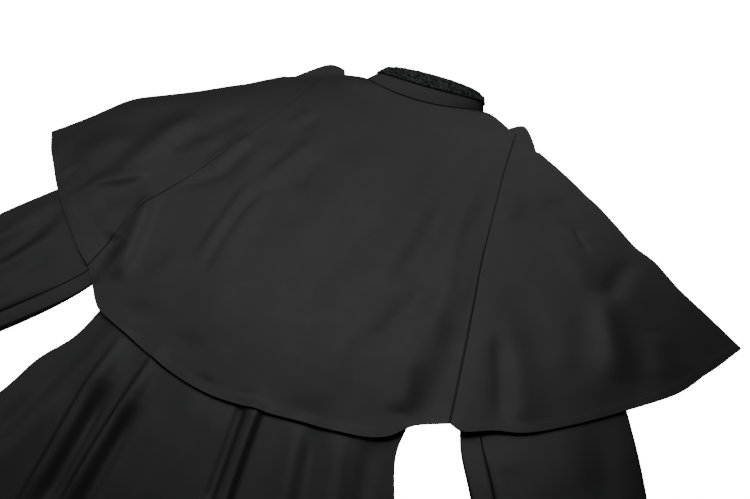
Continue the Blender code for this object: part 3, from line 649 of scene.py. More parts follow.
CAPE_CREASES: Tuple[Crease, ...] = (
    # left side panel
    Crease(((-27.0, -16.5), (-30.5, -20.0), (-34.0, -26.0)), -1.7, 2.5, spread=1.2),
    Crease(((-24.4, -16.6), (-26.0, -20.5), (-26.8, -25.5), (-28.0, -33.0)), 3.6, 1.9),
    Crease(((-24.2, -28.6), (-26.5, -31.2), (-30.4, -33.8)), 3.0, 1.1, lean=-0.3),
    Crease(((-23.6, -19.5), (-24.2, -24.5)), -2.2, 1.3),
    Crease(((-20.3, -20.2), (-21.3, -22.8)), 1.3, 1.0),
    Crease(((-19.4, -13.5), (-21.0, -17.0), (-21.6, -19.6)), -1.3, 1.5),
    Crease(((-16.9, -17.6), (-17.2, -21.5), (-18.0, -26.0)), 2.2, 1.3),
    Crease(((-15.9, -19.0), (-16.6, -25.0), (-18.2, -27.6), (-20.6, -29.2)), -1.6, 1.1),
    Crease(((-23.0, -34.0), (-25.2, -38.7)), 1.4, 1.6),
    Crease(((-27.0, -34.5), (-30.5, -38.5)), 1.4, 2.2, spread=1.2),
    Crease(((-31.0, -24.0), (-35.0, -30.0)), 1.6, 2.2, spread=1.2),
    Crease(((-30.0, -34.5), (-34.5, -33.0)), -1.2, 1.6),
    # beside the left seam
    Crease(((-22.3, -31.8), (-20.5, -37.0), (-18.3, -44.8)), 4.6, 1.05, lean=-0.15, spread=1.3),
    Crease(((-22.0, -38.5), (-21.4, -46.2)), -3.6, 1.3, taper=0.25, spread=1.3),
    Crease(((-18.0, -33.0), (-16.4, -37.5), (-16.0, -43.0)), -1.2, 2.0),
    # back panel
    Crease(((-12.0, -10.6), (-12.6, -14.8)), 1.5, 1.1),
    Crease(((-10.9, -10.9), (-11.3, -14.5)), -1.3, 1.0),
    Crease(((-13.5, -17.0), (-13.9, -23.0), (-13.2, -29.0)), 1.4, 1.6),
    Crease(((-8.8, -14.5), (-10.0, -20.0), (-11.2, -25.6)), 1.9, 1.2, lean=0.2),
    Crease(((-12.3, -24.0), (-12.3, -30.0), (-11.9, -39.5)), 2.0, 1.0, lean=0.45),
    Crease(((-10.6, -25.5), (-11.1, -29.0), (-11.0, -34.0), (-10.4, -39.6)), -1.5, 0.45, taper=0.2),
    Crease(((-9.6, -26.0), (-9.7, -33.0), (-9.0, -40.0)), 1.3, 1.1),
    Crease(((-7.4, -17.5), (-7.0, -24.5)), -1.6, 1.2),
    Crease(((-3.0, -13.0), (-1.8, -22.0), (-3.0, -34.0)), 2.4, 2.6, spread=1.1),
    Crease(((2.2, -23.0), (2.6, -31.0), (1.2, -41.5)), -2.4, 2.0, spread=1.1),
    Crease(((6.6, -9.5), (7.6, -18.0), (7.6, -28.5), (8.6, -37.5)), 2.4, 1.8),
    Crease(((10.2, -18.5), (10.3, -25.0), (9.8, -31.5)), -1.2, 1.3),
    Crease(((12.5, -11.0), (12.8, -22.0), (14.6, -30.0), (15.3, -38.5)), 2.3, 1.4),
    Crease(((15.3, -20.5), (16.2, -28.0), (17.0, -34.0)), 0.7, 1.1),
    Crease(((13.6, -29.5), (12.0, -35.5), (10.2, -41.6)), -2.4, 1.5),
    Crease(((17.8, -33.0), (18.4, -39.0), (18.9, -47.4)), -2.4, 1.7, spread=1.3),
    Crease(((14.3, -39.5), (16.2, -46.5)), 1.8, 1.2, spread=1.2),
    Crease(((7.4, -38.5), (7.6, -50.0)), 1.7, 1.7, spread=1.2),
    Crease(((3.3, -38.5), (3.7, -45.0)), -0.8, 0.9),
    Crease(((-3.2, -46.5), (-2.9, -51.0)), 0.9, 0.8, spread=1.3),
    Crease(((-6.6, -40.0), (-7.2, -48.0)), 1.0, 1.6, spread=1.2),
    Crease(((-14.6, -38.0), (-14.0, -47.0)), 1.2, 1.6, spread=1.3),
    # right side panel
    Crease(((16.9, -12.5), (17.6, -19.0)), 1.4, 1.3),
    Crease(((21.0, -12.5), (26.8, -17.0)), -1.2, 1.4),
    Crease(((25.0, -16.2), (26.2, -17.8), (27.7, -19.2)), -1.4, 0.45, taper=0.35),
    Crease(((22.5, -18.0), (26.5, -21.0), (28.5, -25.0)), 1.2, 1.6),
    Crease(((32.8, -17.4), (31.5, -20.5), (31.0, -25.0)), -2.2, 1.3, spread=0.9),
    Crease(((35.5, -21.5), (39.5, -26.5), (41.0, -29.0)), -0.8, 1.8),
    Crease(((29.8, -24.2), (32.0, -28.5), (34.6, -34.5)), 1.9, 1.2, spread=1.5),
    Crease(((29.0, -27.5), (31.4, -36.5)), -0.9, 1.7, spread=1.2),
    Crease(((20.5, -27.0), (24.5, -30.8), (27.5, -36.0)), -1.3, 2.2),
    Crease(((21.6, -33.5), (23.8, -38.5), (25.7, -43.6)), -1.7, 0.9, spread=1.3),
    Crease(((23.8, -34.5), (27.0, -42.8)), 1.1, 1.4, spread=1.3),
    Crease(((36.2, -27.0), (38.6, -32.0)), 1.0, 1.6),
)


@dataclass
class Cape:
    """The hip-length cape: a back panel and two side panels that fold at the shoulders."""

    wardrobe: Wardrobe
    level: float = 0.0130
    rim: float = 0.0066
    rim_reach: float = 3.6 * CM
    rise_power: float = 1.25
    neck_rim_reach: float = 1.0 * CM
    neck_band: Tuple[float, float] = (0.5, 4.0)
    neck_lift: float = 2.2 * MM
    neck_reach: float = 5.0
    tip_band: Tuple[float, float] = (24.0, 44.0)
    roll_out: float = 0.34
    roll_outward: Tuple[float, float] = (0.57, 0.82)
    flap_drawn_in: float = 13.0  # cm by which the grid is drawn in where the flap begins
    shoulder_drawn_in: float = 4.0
    top_columns: int = 92
    roll_columns: int = 14
    under_columns: int = 34
    side_rows: int = 170
    back_columns: int = 150
    back_rows: int = 170
    hem_turn: float = 0.9  # cm of cloth turned up at the hem
    hem_rise: float = 0.00016
    stitch_line: float = 0.8  # cm from the hem
    stitch_sink: float = 0.00014
    seam_sink: float = 0.0005
    seam_width: float = 0.11
    left_seam_band: Tuple[float, float] = (20.0, 27.0)  # cm down: pressed open only below it
    hem_fall: Tuple[float, float] = (2.7 * MM, 1.2 * MM)  # over the skirt, and over the sleeves
    hem_fall_band: Tuple[float, float] = (17.0, 22.0)
    hem_fall_reach: float = 10.0
    side_crowding: float = 0.6  # how much closer the side panels' columns lie at the seam
    swells: Tuple[float, float] = (9.0, 0.35)  # cm from one to the next, and mm high
    stitch_pitch: float = 0.0030
    stitch_sizes: Tuple[float, float, float] = (0.0011, 0.00022, 0.00016)
    stitch_samples: int = 220
    stitch_ends: int = 5  # samples left bare at each end of a row
    stitch_width: float = 0.07
    turn_step: float = 0.08
    middle: Tuple[float, float] = (0.0, -25.0)

    def edge_distance(self, spots: Array, panel: CapeSide) -> Array:
        """Distance in cm from each spot to the panel's folded shoulder edge."""
        lines = (panel.fold, panel.over, panel.shoulder)
        return np.minimum.reduce([to_line(spots, line) for line in lines])

    def height(self, spots: Array) -> Array:
        """The middle of the cape's upper wall at each spot, in metres."""
        right = spots[:, 0] > 0
        edge = np.where(
            right, self.edge_distance(spots, CAPE_RIGHT), self.edge_distance(spots, CAPE_LEFT)
        )
        tip = ease(np.abs(spots[:, 0]), *self.tip_band)
        tip_rise = np.where(right, CAPE_RIGHT.tip_rise, CAPE_LEFT.tip_rise) * tip
        to_left = np.linalg.norm(spots - np.array(NECK_BACK[0]), axis=1)
        to_right = np.linalg.norm(spots - np.array(NECK_BACK[-1]), axis=1)
        neck = 1 - ease(np.where(right, to_right, to_left), 0.0, self.neck_reach)
        rim = self.rim + tip_rise + self.neck_lift * neck
        level = np.full(len(spots), CAPE_LEVELS[-1][1])
        for low, high in reversed(list(zip(CAPE_LEVELS, CAPE_LEVELS[1:]))):
            between = mix(low[1], high[1], ease(spots[:, 0], low[0], high[0]))
            level = np.where(spots[:, 0] <= high[0], between, level)
        beside = ease(to_line(spots, NECK_BACK), *self.neck_band)
        reach = mix(self.neck_rim_reach, self.rim_reach, beside)
        rise = 1 - np.exp(-((edge * CM / reach) ** self.rise_power))
        loose = creased(CAPE_CREASES, spots) + swell(spots, *self.swells)
        return rim + (level - rim) * rise + loose * rise - self.fallen(spots)

    def fallen(self, spots: Array) -> Array:
        """How far the cloth sinks toward the hem, less where a fold of the skirt holds it up."""
        hems = (HEM_BACK, CAPE_LEFT.hem, CAPE_RIGHT.hem)
        to_hem = np.minimum.reduce([to_line(spots, hem) for hem in hems])
        beyond = ease(np.abs(spots[:, 0]), *self.hem_fall_band)
        fall = mix(*self.hem_fall, beyond) * (1 - ease(to_hem, 0.0, self.hem_fall_reach))
        held = np.maximum(creased(SKIRT_CREASES, spots), 0.0)
        return np.maximum(fall - held, 0.0)

    def trimmed(self, spots: Array, hem: Rows, seams: Sequence[Rows]) -> Array:
        """What the turned hem, its stitching and the pressed seams add at each spot."""
        to_hem = to_line(spots, hem)
        turn = (self.hem_turn - self.turn_step, self.hem_turn + self.turn_step)
        added = self.hem_rise * (1 - ease(to_hem, *turn))
        from_line = (to_hem - self.stitch_line) / self.stitch_width
        added -= self.stitch_sink * np.exp(-(from_line**2))
        pressed = np.where(spots[:, 0] < 0, ease(-spots[:, 1], *self.left_seam_band), 1.0)
        sink = self.seam_sink * pressed
        for seam in seams:
            added -= sink * np.exp(-((to_line(spots, seam) / self.seam_width) ** 2))
        return added

    def back_points(self, across: Array, down: Array) -> Array:
        """Points of the back panel."""
        left = tuple(reversed(CAPE_LEFT.shoulder))[:-1]
        top = left + tuple(NECK_BACK) + tuple(CAPE_RIGHT.shoulder[1:])
        u = crowded(across)
        v = crowded(down)
        spots = patch(top, HEM_BACK, CAPE_LEFT.seam, CAPE_RIGHT.seam, u, v)
        heights = self.height(spots)
        heights += self.trimmed(spots, HEM_BACK, (CAPE_LEFT.seam, CAPE_RIGHT.seam))
        return LAY.place(spots, heights)

    def side_points(self, panel: CapeSide, across: Array, down: Array) -> Array:
        """Points of a side panel: over the back, round the fold and flat below."""
        sign = panel.side.value
        outward = np.array((self.roll_outward[0] * sign, self.roll_outward[1]))
        inner = np.array(panel.fold) - self.roll_out * outward
        total = self.top_columns + self.roll_columns + self.under_columns
        column = np.round(across * total)
        v = crowded(down)
        over = tuple(panel.over[:-1]) + (tuple(inner[0]),)
        hem = tuple(panel.hem[:-1]) + (tuple(inner[-1]),)
        share = np.clip(column / self.top_columns, 0.0, 1.0)
        share = share - self.side_crowding * np.sin(math.pi * share) / math.pi * (1 - share)
        spots = patch(over, hem, panel.seam, inner, share, v)
        spots += drawn_in(outward, 1 - share, v, self.shoulder_drawn_in)
        spots[:, 0] += sign * LAY.seam / CM * (1 - share)
        heights = self.height(spots) + self.trimmed(spots, hem, (panel.seam,))
        top = LAY.place(spots, heights)
        edge = smooth(inner, v)
        edge_height = self.height(edge) + self.trimmed(edge, hem, (panel.seam,))
        turn = np.clip((column - self.top_columns) / self.roll_columns, 0.0, 1.0)
        radius = (edge_height - LAY.lowest) / 2
        out = self.roll_out * np.sin(math.pi * turn)
        rolled = edge + out[:, None] * outward
        roll = LAY.place(rolled, LAY.lowest + radius * (1 + np.cos(math.pi * turn)))
        left = column - self.top_columns - self.roll_columns
        share = np.clip(left / self.under_columns, 0.0, 1.0)
        flap = (tuple(inner[0]),) + tuple(panel.flap[1:])
        under_hem = (tuple(inner[-1]),) + tuple(reversed(panel.under_hem[:-1]))
        spots = patch(flap, under_hem, inner, panel.front, share, v)
        below = LAY.place(spots + drawn_in(outward, share, v, self.flap_drawn_in), LAY.lowest)
        is_top = (column <= self.top_columns)[:, None]
        is_roll = (column < self.top_columns + self.roll_columns)[:, None]
        return np.where(is_top, top, np.where(is_roll, roll, below))

    def hem_stitches(self) -> List[Matrix]:
        """The topstitching above the hem, on all three panels."""
        rows: List[Matrix] = []
        for hem in (HEM_BACK, CAPE_LEFT.hem, CAPE_RIGHT.hem):
            line = smooth(hem, np.linspace(0.0, 1.0, self.stitch_samples))
            run = np.gradient(line, axis=0)
            run /= np.linalg.norm(run, axis=1)[:, None]
            inward = np.column_stack((-run[:, 1], run[:, 0]))
            facing = np.sign(np.sum(inward * (np.array(self.middle) - line), axis=1))[:, None]
            path = line + inward * facing * self.stitch_line
            path = path[self.stitch_ends : -self.stitch_ends]
            height = self.height(path) + self.hem_rise - self.stitch_sink + LAY.wall / 2
            rows += stitch_row(path, height, self.stitch_pitch, self.stitch_sizes)
        return rows

    def build(self) -> List[bpy.types.Object]:
        """Makes the three panels and their topstitching."""
        cloth = self.wardrobe.get(CAPE_CREPE)
        back = cloth_sheet(
            "cape_back_cloth", self.back_columns, self.back_rows, self.back_points, LAY.wall, cloth
        )
        dress(back, Slot.CAPE, "cape_back")
        stitches = bodies_mesh(
            "cape_hem_stitches", self.hem_stitches(), 1, self.wardrobe.get(SEWING_THREAD)
        )
        dress(stitches, Slot.CAPE)
        made = [back, stitches]
        columns = self.top_columns + self.roll_columns + self.under_columns
        for panel in (CAPE_LEFT, CAPE_RIGHT):
            piece = cloth_sheet(
                f"cape_{panel.side.word}_cloth", columns, self.side_rows,
                lambda across, down, panel=panel: self.side_points(panel, across, down),
                LAY.wall, cloth,
            )
            dress(piece, Slot.CAPE, f"cape_{panel.side.word}")
            made.append(piece)
        return made


# ---------------------------------------------------------------- bodice
WAIST_Y = -40.0
WAIST_DIP = 0.6
SHOULDER_TIP: Dict[Side, Tuple[float, float]] = {
    Side.LEFT: (-18.6, -7.2),
    Side.RIGHT: (18.2, -7.4),
}
UNDERARM: Dict[Side, Tuple[float, float]] = {
    Side.LEFT: (-20.0, -22.8),
    Side.RIGHT: (19.8, -22.8),
}
WAIST_SIDE: Dict[Side, Tuple[float, float]] = {
    Side.LEFT: (-17.0, WAIST_Y),
    Side.RIGHT: (16.6, WAIST_Y),
}
ARMHOLE: Dict[Side, Rows] = {
    Side.LEFT: (SHOULDER_TIP[Side.LEFT], (-18.9, -13.5), (-19.25, -19.0), UNDERARM[Side.LEFT]),
    Side.RIGHT: (SHOULDER_TIP[Side.RIGHT], (18.6, -13.5), (19.0, -19.0), UNDERARM[Side.RIGHT]),
}
BODY_SIDE: Dict[Side, Rows] = {
    Side.LEFT: (UNDERARM[Side.LEFT], (-18.6, -31.0), WAIST_SIDE[Side.LEFT]),
    Side.RIGHT: (UNDERARM[Side.RIGHT], (18.2, -31.0), WAIST_SIDE[Side.RIGHT]),
}
BODICE_NECK: Rows = tuple((x * 1.04, y - 0.45) for x, y in NECK_BACK)
BODICE_POINT: Dict[Side, Tuple[float, float]] = {
    Side.LEFT: BODICE_NECK[0],
    Side.RIGHT: BODICE_NECK[-1],
}
BODICE_CREASES: Tuple[Crease, ...] = (
    Crease(((-9.0, -12.0), (-8.0, -26.0), (-7.0, -39.0)), 0.5, 1.8),
    Crease(((4.0, -16.0), (3.0, -28.0), (5.0, -40.0)), 0.5, 2.2),
    Crease(((12.0, -20.0), (10.5, -36.0)), -0.5, 1.8),
)


@dataclass
class Bodice:
    """The fitted upper part, which lies under the cape."""

    wardrobe: Wardrobe
    cape: Cape
    level: float = 0.0070
    under_neck: float = 0.0026
    under_neck_reach: float = 3.0 * CM
    side_fade: float = 3.0
    neck_degrees: Tuple[float, ...] = (180.0, 160.0, 140.0, 122.0, 106.0)
    back_cells: Tuple[int, int] = (64, 56)
    front_cells: Tuple[int, int] = (30, 40)

    def back_height(self, spots: Array) -> Array:
        """The middle of the bodice back at each spot."""
        lines = [(BODICE_POINT[side], SHOULDER_TIP[side]) for side in Side]
        lines += [BODY_SIDE[side] for side in Side]
        edge = np.minimum.reduce([to_line(spots, line) for line in lines])
        low = LAY.second + LAY.seam_rise
        to_neck = to_line(spots, NECK_BACK) * CM
        neck = np.exp(-((to_neck / self.under_neck_reach) ** 2))
        level = mix(self.level, self.cape.height(spots) - self.under_neck, neck)
        level += creased(BODICE_CREASES, spots) * (1 - neck)
        return mix(low, level, np.maximum(ease(edge, 0.0, self.side_fade), neck))

    def back_points(self, across: Array, down: Array) -> Array:
        """Points of the bodice back."""
        tips = [np.array(SHOULDER_TIP[side]) for side in Side]
        points = [np.array(BODICE_POINT[side]) for side in Side]
        left = (tuple(tips[0]), tuple(mix(tips[0], points[0], 0.5)))
        right = (tuple(mix(tips[1], points[1], 0.5)), tuple(tips[1]))
        top = left + tuple(BODICE_NECK) + right
        waist = (WAIST_SIDE[Side.LEFT], (0.0, WAIST_Y - WAIST_DIP), WAIST_SIDE[Side.RIGHT])
        sides = [tuple(ARMHOLE[side]) + tuple(BODY_SIDE[side][1:]) for side in Side]
        spots = patch(top, waist, sides[0], sides[1], across, down)
        return LAY.place(spots, self.back_height(spots))

    def front_points(self, side: Side, across: Array, down: Array) -> Array:
        """Points of one half of the bodice front."""
        middle = side.value * LAY.seam / 2 / CM
        neck = [front_neck(side, degrees) for degrees in self.neck_degrees]
        half = tuple(mix(np.array(neck[-1]), np.array(SHOULDER_TIP[side]), 0.5))
        top = ((middle, neck[0][1]),) + tuple(neck[1:])
        top += (BODICE_POINT[side], half, SHOULDER_TIP[side])
        waist = ((middle, WAIST_Y - WAIST_DIP), WAIST_SIDE[side])
        outer = tuple(ARMHOLE[side]) + tuple(BODY_SIDE[side][1:])
        spots = patch(top, waist, (top[0], waist[0]), outer, across, down)
        return LAY.place(spots, LAY.second)

    def build(self) -> List[bpy.types.Object]:
        """Makes the bodice's three panels."""
        cloth = self.wardrobe.get(DRESS_CREPE_WITH_PAINTED_SHADE)
        back = cloth_sheet(
            "bodice_back_cloth", *self.back_cells, self.back_points, LAY.wall, cloth
        )
        dress(back, Slot.DRESS, "bodice_back")
        made = [back]
        for side in Side:
            piece = cloth_sheet(
                f"bodice_front_{side.word}_cloth", *self.front_cells,
                lambda across, down, side=side: self.front_points(side, across, down),
                LAY.wall, cloth,
            )
            dress(piece, Slot.DRESS, f"bodice_front_{side.word}")
            made.append(piece)
        return made


# ---------------------------------------------------------------- skirt
SKIRT_HEM_Y = -108.0
HEM_RISE = 1.0
SKIRT_SIDE: Dict[Side, Rows] = {
    Side.LEFT: (
        (-17.0, WAIST_Y),
        (-17.8, -46.0), (-18.3, -51.5), (-20.1, -55.5), (-21.2, -61.0), (-25.4, -74.0),
        (-31.4, -92.0), (-35.6, -104.0),
    ),
    Side.RIGHT: (
        (16.6, WAIST_Y),
        (17.2, -46.0), (17.4, -50.0), (19.2, -54.5), (21.4, -60.0), (26.4, -74.0),
        (32.2, -92.0), (36.0, -104.0),
    ),
}
SKIRT_CREASES: Tuple[Crease, ...] = (
    Crease(((-14.9, -46.0), (-15.6, -62.0), (-22.5, -106.0)), 1.6, 1.4, taper=0.1, spread=2.2),
    Crease(((-16.6, -51.0), (-17.6, -60.0), (-19.6, -74.0)), -4.2, 1.5, spread=1.3),
    Crease(((-13.4, -48.5), (-12.7, -57.0), (-11.5, -64.0), (-10.4, -72.0)), 6.2, 1.0, lean=0.3),
    Crease(((-11.3, -54.5), (-10.4, -60.0), (-9.1, -70.0)), -4.0, 0.85, lean=-0.2),
    Crease(((-10.4, -69.0), (-12.8, -107.0)), 5.0, 1.5, taper=0.12, spread=1.5),
    Crease(((-9.3, -48.6), (-8.8, -54.0), (-8.2, -61.0), (-7.1, -70.0)), 5.6, 0.85, lean=0.35),
    Crease(((-7.4, -55.5), (-6.7, -61.0), (-5.6, -70.0)), -4.0, 0.95, lean=-0.2),
    Crease(((-7.2, -68.0), (-3.2, -108.0)), 4.2, 1.5, taper=0.12, spread=1.5),
    Crease(((-3.0, -51.0), (-2.0, -57.0), (-0.6, -66.0)), 1.4, 1.1),
    Crease(((-0.6, -52.0), (1.0, -58.0), (2.4, -66.0)), 1.0, 0.9),
    Crease(((1.7, -50.8), (3.0, -56.5), (4.3, -62.5)), -4.0, 0.6, taper=0.2),
    Crease(((3.1, -50.0), (4.4, -56.5), (6.1, -64.0)), 4.8, 1.15, lean=-0.5, taper=0.2),
    Crease(((6.0, -63.0), (7.4, -108.0)), 4.8, 1.5, taper=0.12, spread=1.6),
    Crease(((7.4, -50.0), (9.6, -57.5), (12.0, -66.0)), 2.4, 1.1),
    Crease(((9.2, -50.0), (11.4, -57.0), (13.4, -64.0)), -1.8, 1.0),
    Crease(((12.2, -67.0), (18.0, -107.0)), 3.6, 1.8, taper=0.12, spread=1.5),
    Crease(((11.4, -49.0), (13.8, -56.0), (16.4, -63.0)), 2.4, 1.2),
    Crease(((15.0, -49.0), (17.0, -58.0)), -1.6, 1.1),
    Crease(((17.4, -64.0), (27.2, -106.0)), 3.0, 1.8, taper=0.12, spread=1.5),
)


@dataclass
class Skirt:
    """The flared skirt: a back with soft folds over two front panels."""

    wardrobe: Wardrobe
    level: float = 0.0078
    side_fade: float = 4.0
    level_band: Tuple[float, float] = (44.0, 60.0)
    land_band: Tuple[float, float] = (47.0, 56.0)
    hem_turn: float = 2.0
    hem_rise: float = 0.00028
    turn_step: float = 0.1
    waist_level: float = 0.0070
    swells: Tuple[float, float, float] = (7.0, 0.3, 0.6)  # as the cape's, and their turn
    back_cells: Tuple[int, int] = (200, 200)
    front_cells: Tuple[int, int] = (20, 60)

    def hem(self, side: Side) -> Rows:
        """The hem from the centre to a side seam."""
        corner = SKIRT_SIDE[side][-1]
        return ((0.0, SKIRT_HEM_Y), (corner[0] * 0.5, SKIRT_HEM_Y + HEM_RISE), corner)

    def front_height(self, y: Array) -> Array:
        """The middle of the skirt front, which comes down onto the surface."""
        return mix(LAY.second, LAY.lowest, ease(-y, *self.land_band))

    def back_points(self, across: Array, down: Array) -> Array:
        """Points of the skirt back."""
        waist_y = WAIST_Y - LAY.seam / CM
        left_x = WAIST_SIDE[Side.LEFT][0]
        right_x = WAIST_SIDE[Side.RIGHT][0]
        waist = ((left_x, waist_y), (0.0, waist_y - WAIST_DIP), (right_x, waist_y))
        hem = tuple(reversed(self.hem(Side.LEFT))) + tuple(self.hem(Side.RIGHT)[1:])
        left = (waist[0],) + tuple(SKIRT_SIDE[Side.LEFT][1:])
        right = (waist[-1],) + tuple(SKIRT_SIDE[Side.RIGHT][1:])
        spots = patch(waist, hem, left, right, across, down)
        edge = np.minimum(to_line(spots, left), to_line(spots, right))
        low = self.front_height(spots[:, 1]) + LAY.seam_rise
        level = mix(self.waist_level, self.level, ease(-spots[:, 1], *self.level_band))
        level = level + creased(SKIRT_CREASES, spots) + swell(spots, *self.swells)
        turn = (self.hem_turn - self.turn_step, self.hem_turn)
        turned = self.hem_rise * (1 - ease(to_line(spots, hem), *turn))
        height = mix(low, level, ease(edge, 0.0, self.side_fade)) + turned
        return LAY.place(spots, np.maximum(height, low))

    def front_points(self, side: Side, across: Array, down: Array) -> Array:
        """Points of one half of the skirt front."""
        waist_y = WAIST_Y - LAY.seam / CM
        middle = side.value * LAY.seam / 2 / CM
        waist = ((middle, waist_y - WAIST_DIP), (WAIST_SIDE[side][0], waist_y))
        hem = ((middle, SKIRT_HEM_Y),) + tuple(self.hem(side)[1:])
        outer = (waist[-1],) + tuple(SKIRT_SIDE[side][1:])
        spots = patch(waist, hem, (waist[0], hem[0]), outer, across, down)
        return LAY.place(spots, self.front_height(spots[:, 1]))

    def build(self) -> List[bpy.types.Object]:
        """Makes the skirt's three panels."""
        cloth = self.wardrobe.get(DRESS_CREPE_WITH_PAINTED_SHADE)
        back = cloth_sheet(
            "skirt_back_cloth", *self.back_cells, self.back_points, LAY.wall, cloth
        )
        dress(back, Slot.DRESS, "skirt_back")
        made = [back]
        for side in Side:
            piece = cloth_sheet(
                f"skirt_front_{side.word}_cloth", *self.front_cells,
                lambda across, down, side=side: self.front_points(side, across, down),
                LAY.wall, cloth,
            )
            dress(piece, Slot.DRESS, f"skirt_front_{side.word}")
            made.append(piece)
        return made


# ---------------------------------------------------------------- sleeves
@dataclass(frozen=True)
class SleeveOutline:
    """One sleeve as it lies: its two edges and its creases."""

    side: Side
    outer: Rows
    inner: Rows
    creases: Tuple[Crease, ...]


SLEEVES: Tuple[SleeveOutline, ...] = (
    SleeveOutline(
        side=Side.RIGHT,
        outer=(
            (18.2, -7.4), (22.6, -12.8), (27.0, -20.0), (31.6, -28.5), (36.2, -37.2),
            (39.8, -45.2), (44.6, -58.4),
        ),
        inner=(
            (19.8, -22.8), (20.2, -27.0), (20.0, -32.0), (20.4, -38.5), (22.3, -46.0),
            (25.6, -51.8), (33.0, -64.4),
        ),
        creases=(
            Crease(((33.5, -38.0), (36.8, -47.0)), -1.6, 1.8),
            Crease(((25.6, -45.0), (30.5, -55.0)), 1.0, 2.0),
            Crease(((27.5, -47.0), (29.0, -51.0)), -1.2, 1.6),
            Crease(((33.0, -52.0), (37.5, -60.0)), 1.6, 2.2),
        ),
    ),
    SleeveOutline(
        side=Side.LEFT,
        outer=(
            (-18.6, -7.2), (-21.8, -12.0), (-25.4, -19.0), (-29.6, -28.0), (-34.3, -36.6),
            (-37.6, -42.8), (-45.0, -57.6),
        ),
        inner=(
            (-20.0, -22.8), (-20.2, -27.0), (-19.9, -32.0), (-19.9, -38.5), (-21.2, -46.2),
            (-25.7, -54.4), (-33.6, -64.0),
        ),
        creases=(
            Crease(((-32.8, -36.5), (-33.3, -42.0), (-35.2, -48.5)), 2.2, 1.1, lean=-0.3),
            Crease(((-30.8, -36.5), (-31.2, -42.0), (-33.2, -48.5)), -4.8, 1.15, taper=0.2),
            Crease(((-29.0, -40.0), (-29.6, -44.0), (-31.5, -50.0)), 2.0, 0.9),
            Crease(((-26.7, -42.5), (-25.8, -46.5)), 1.6, 0.9),
            Crease(((-28.0, -44.0), (-28.6, -49.0)), -1.4, 1.0),
            Crease(((-36.0, -50.0), (-40.0, -57.0)), 1.2, 2.0),
        ),
    ),
)


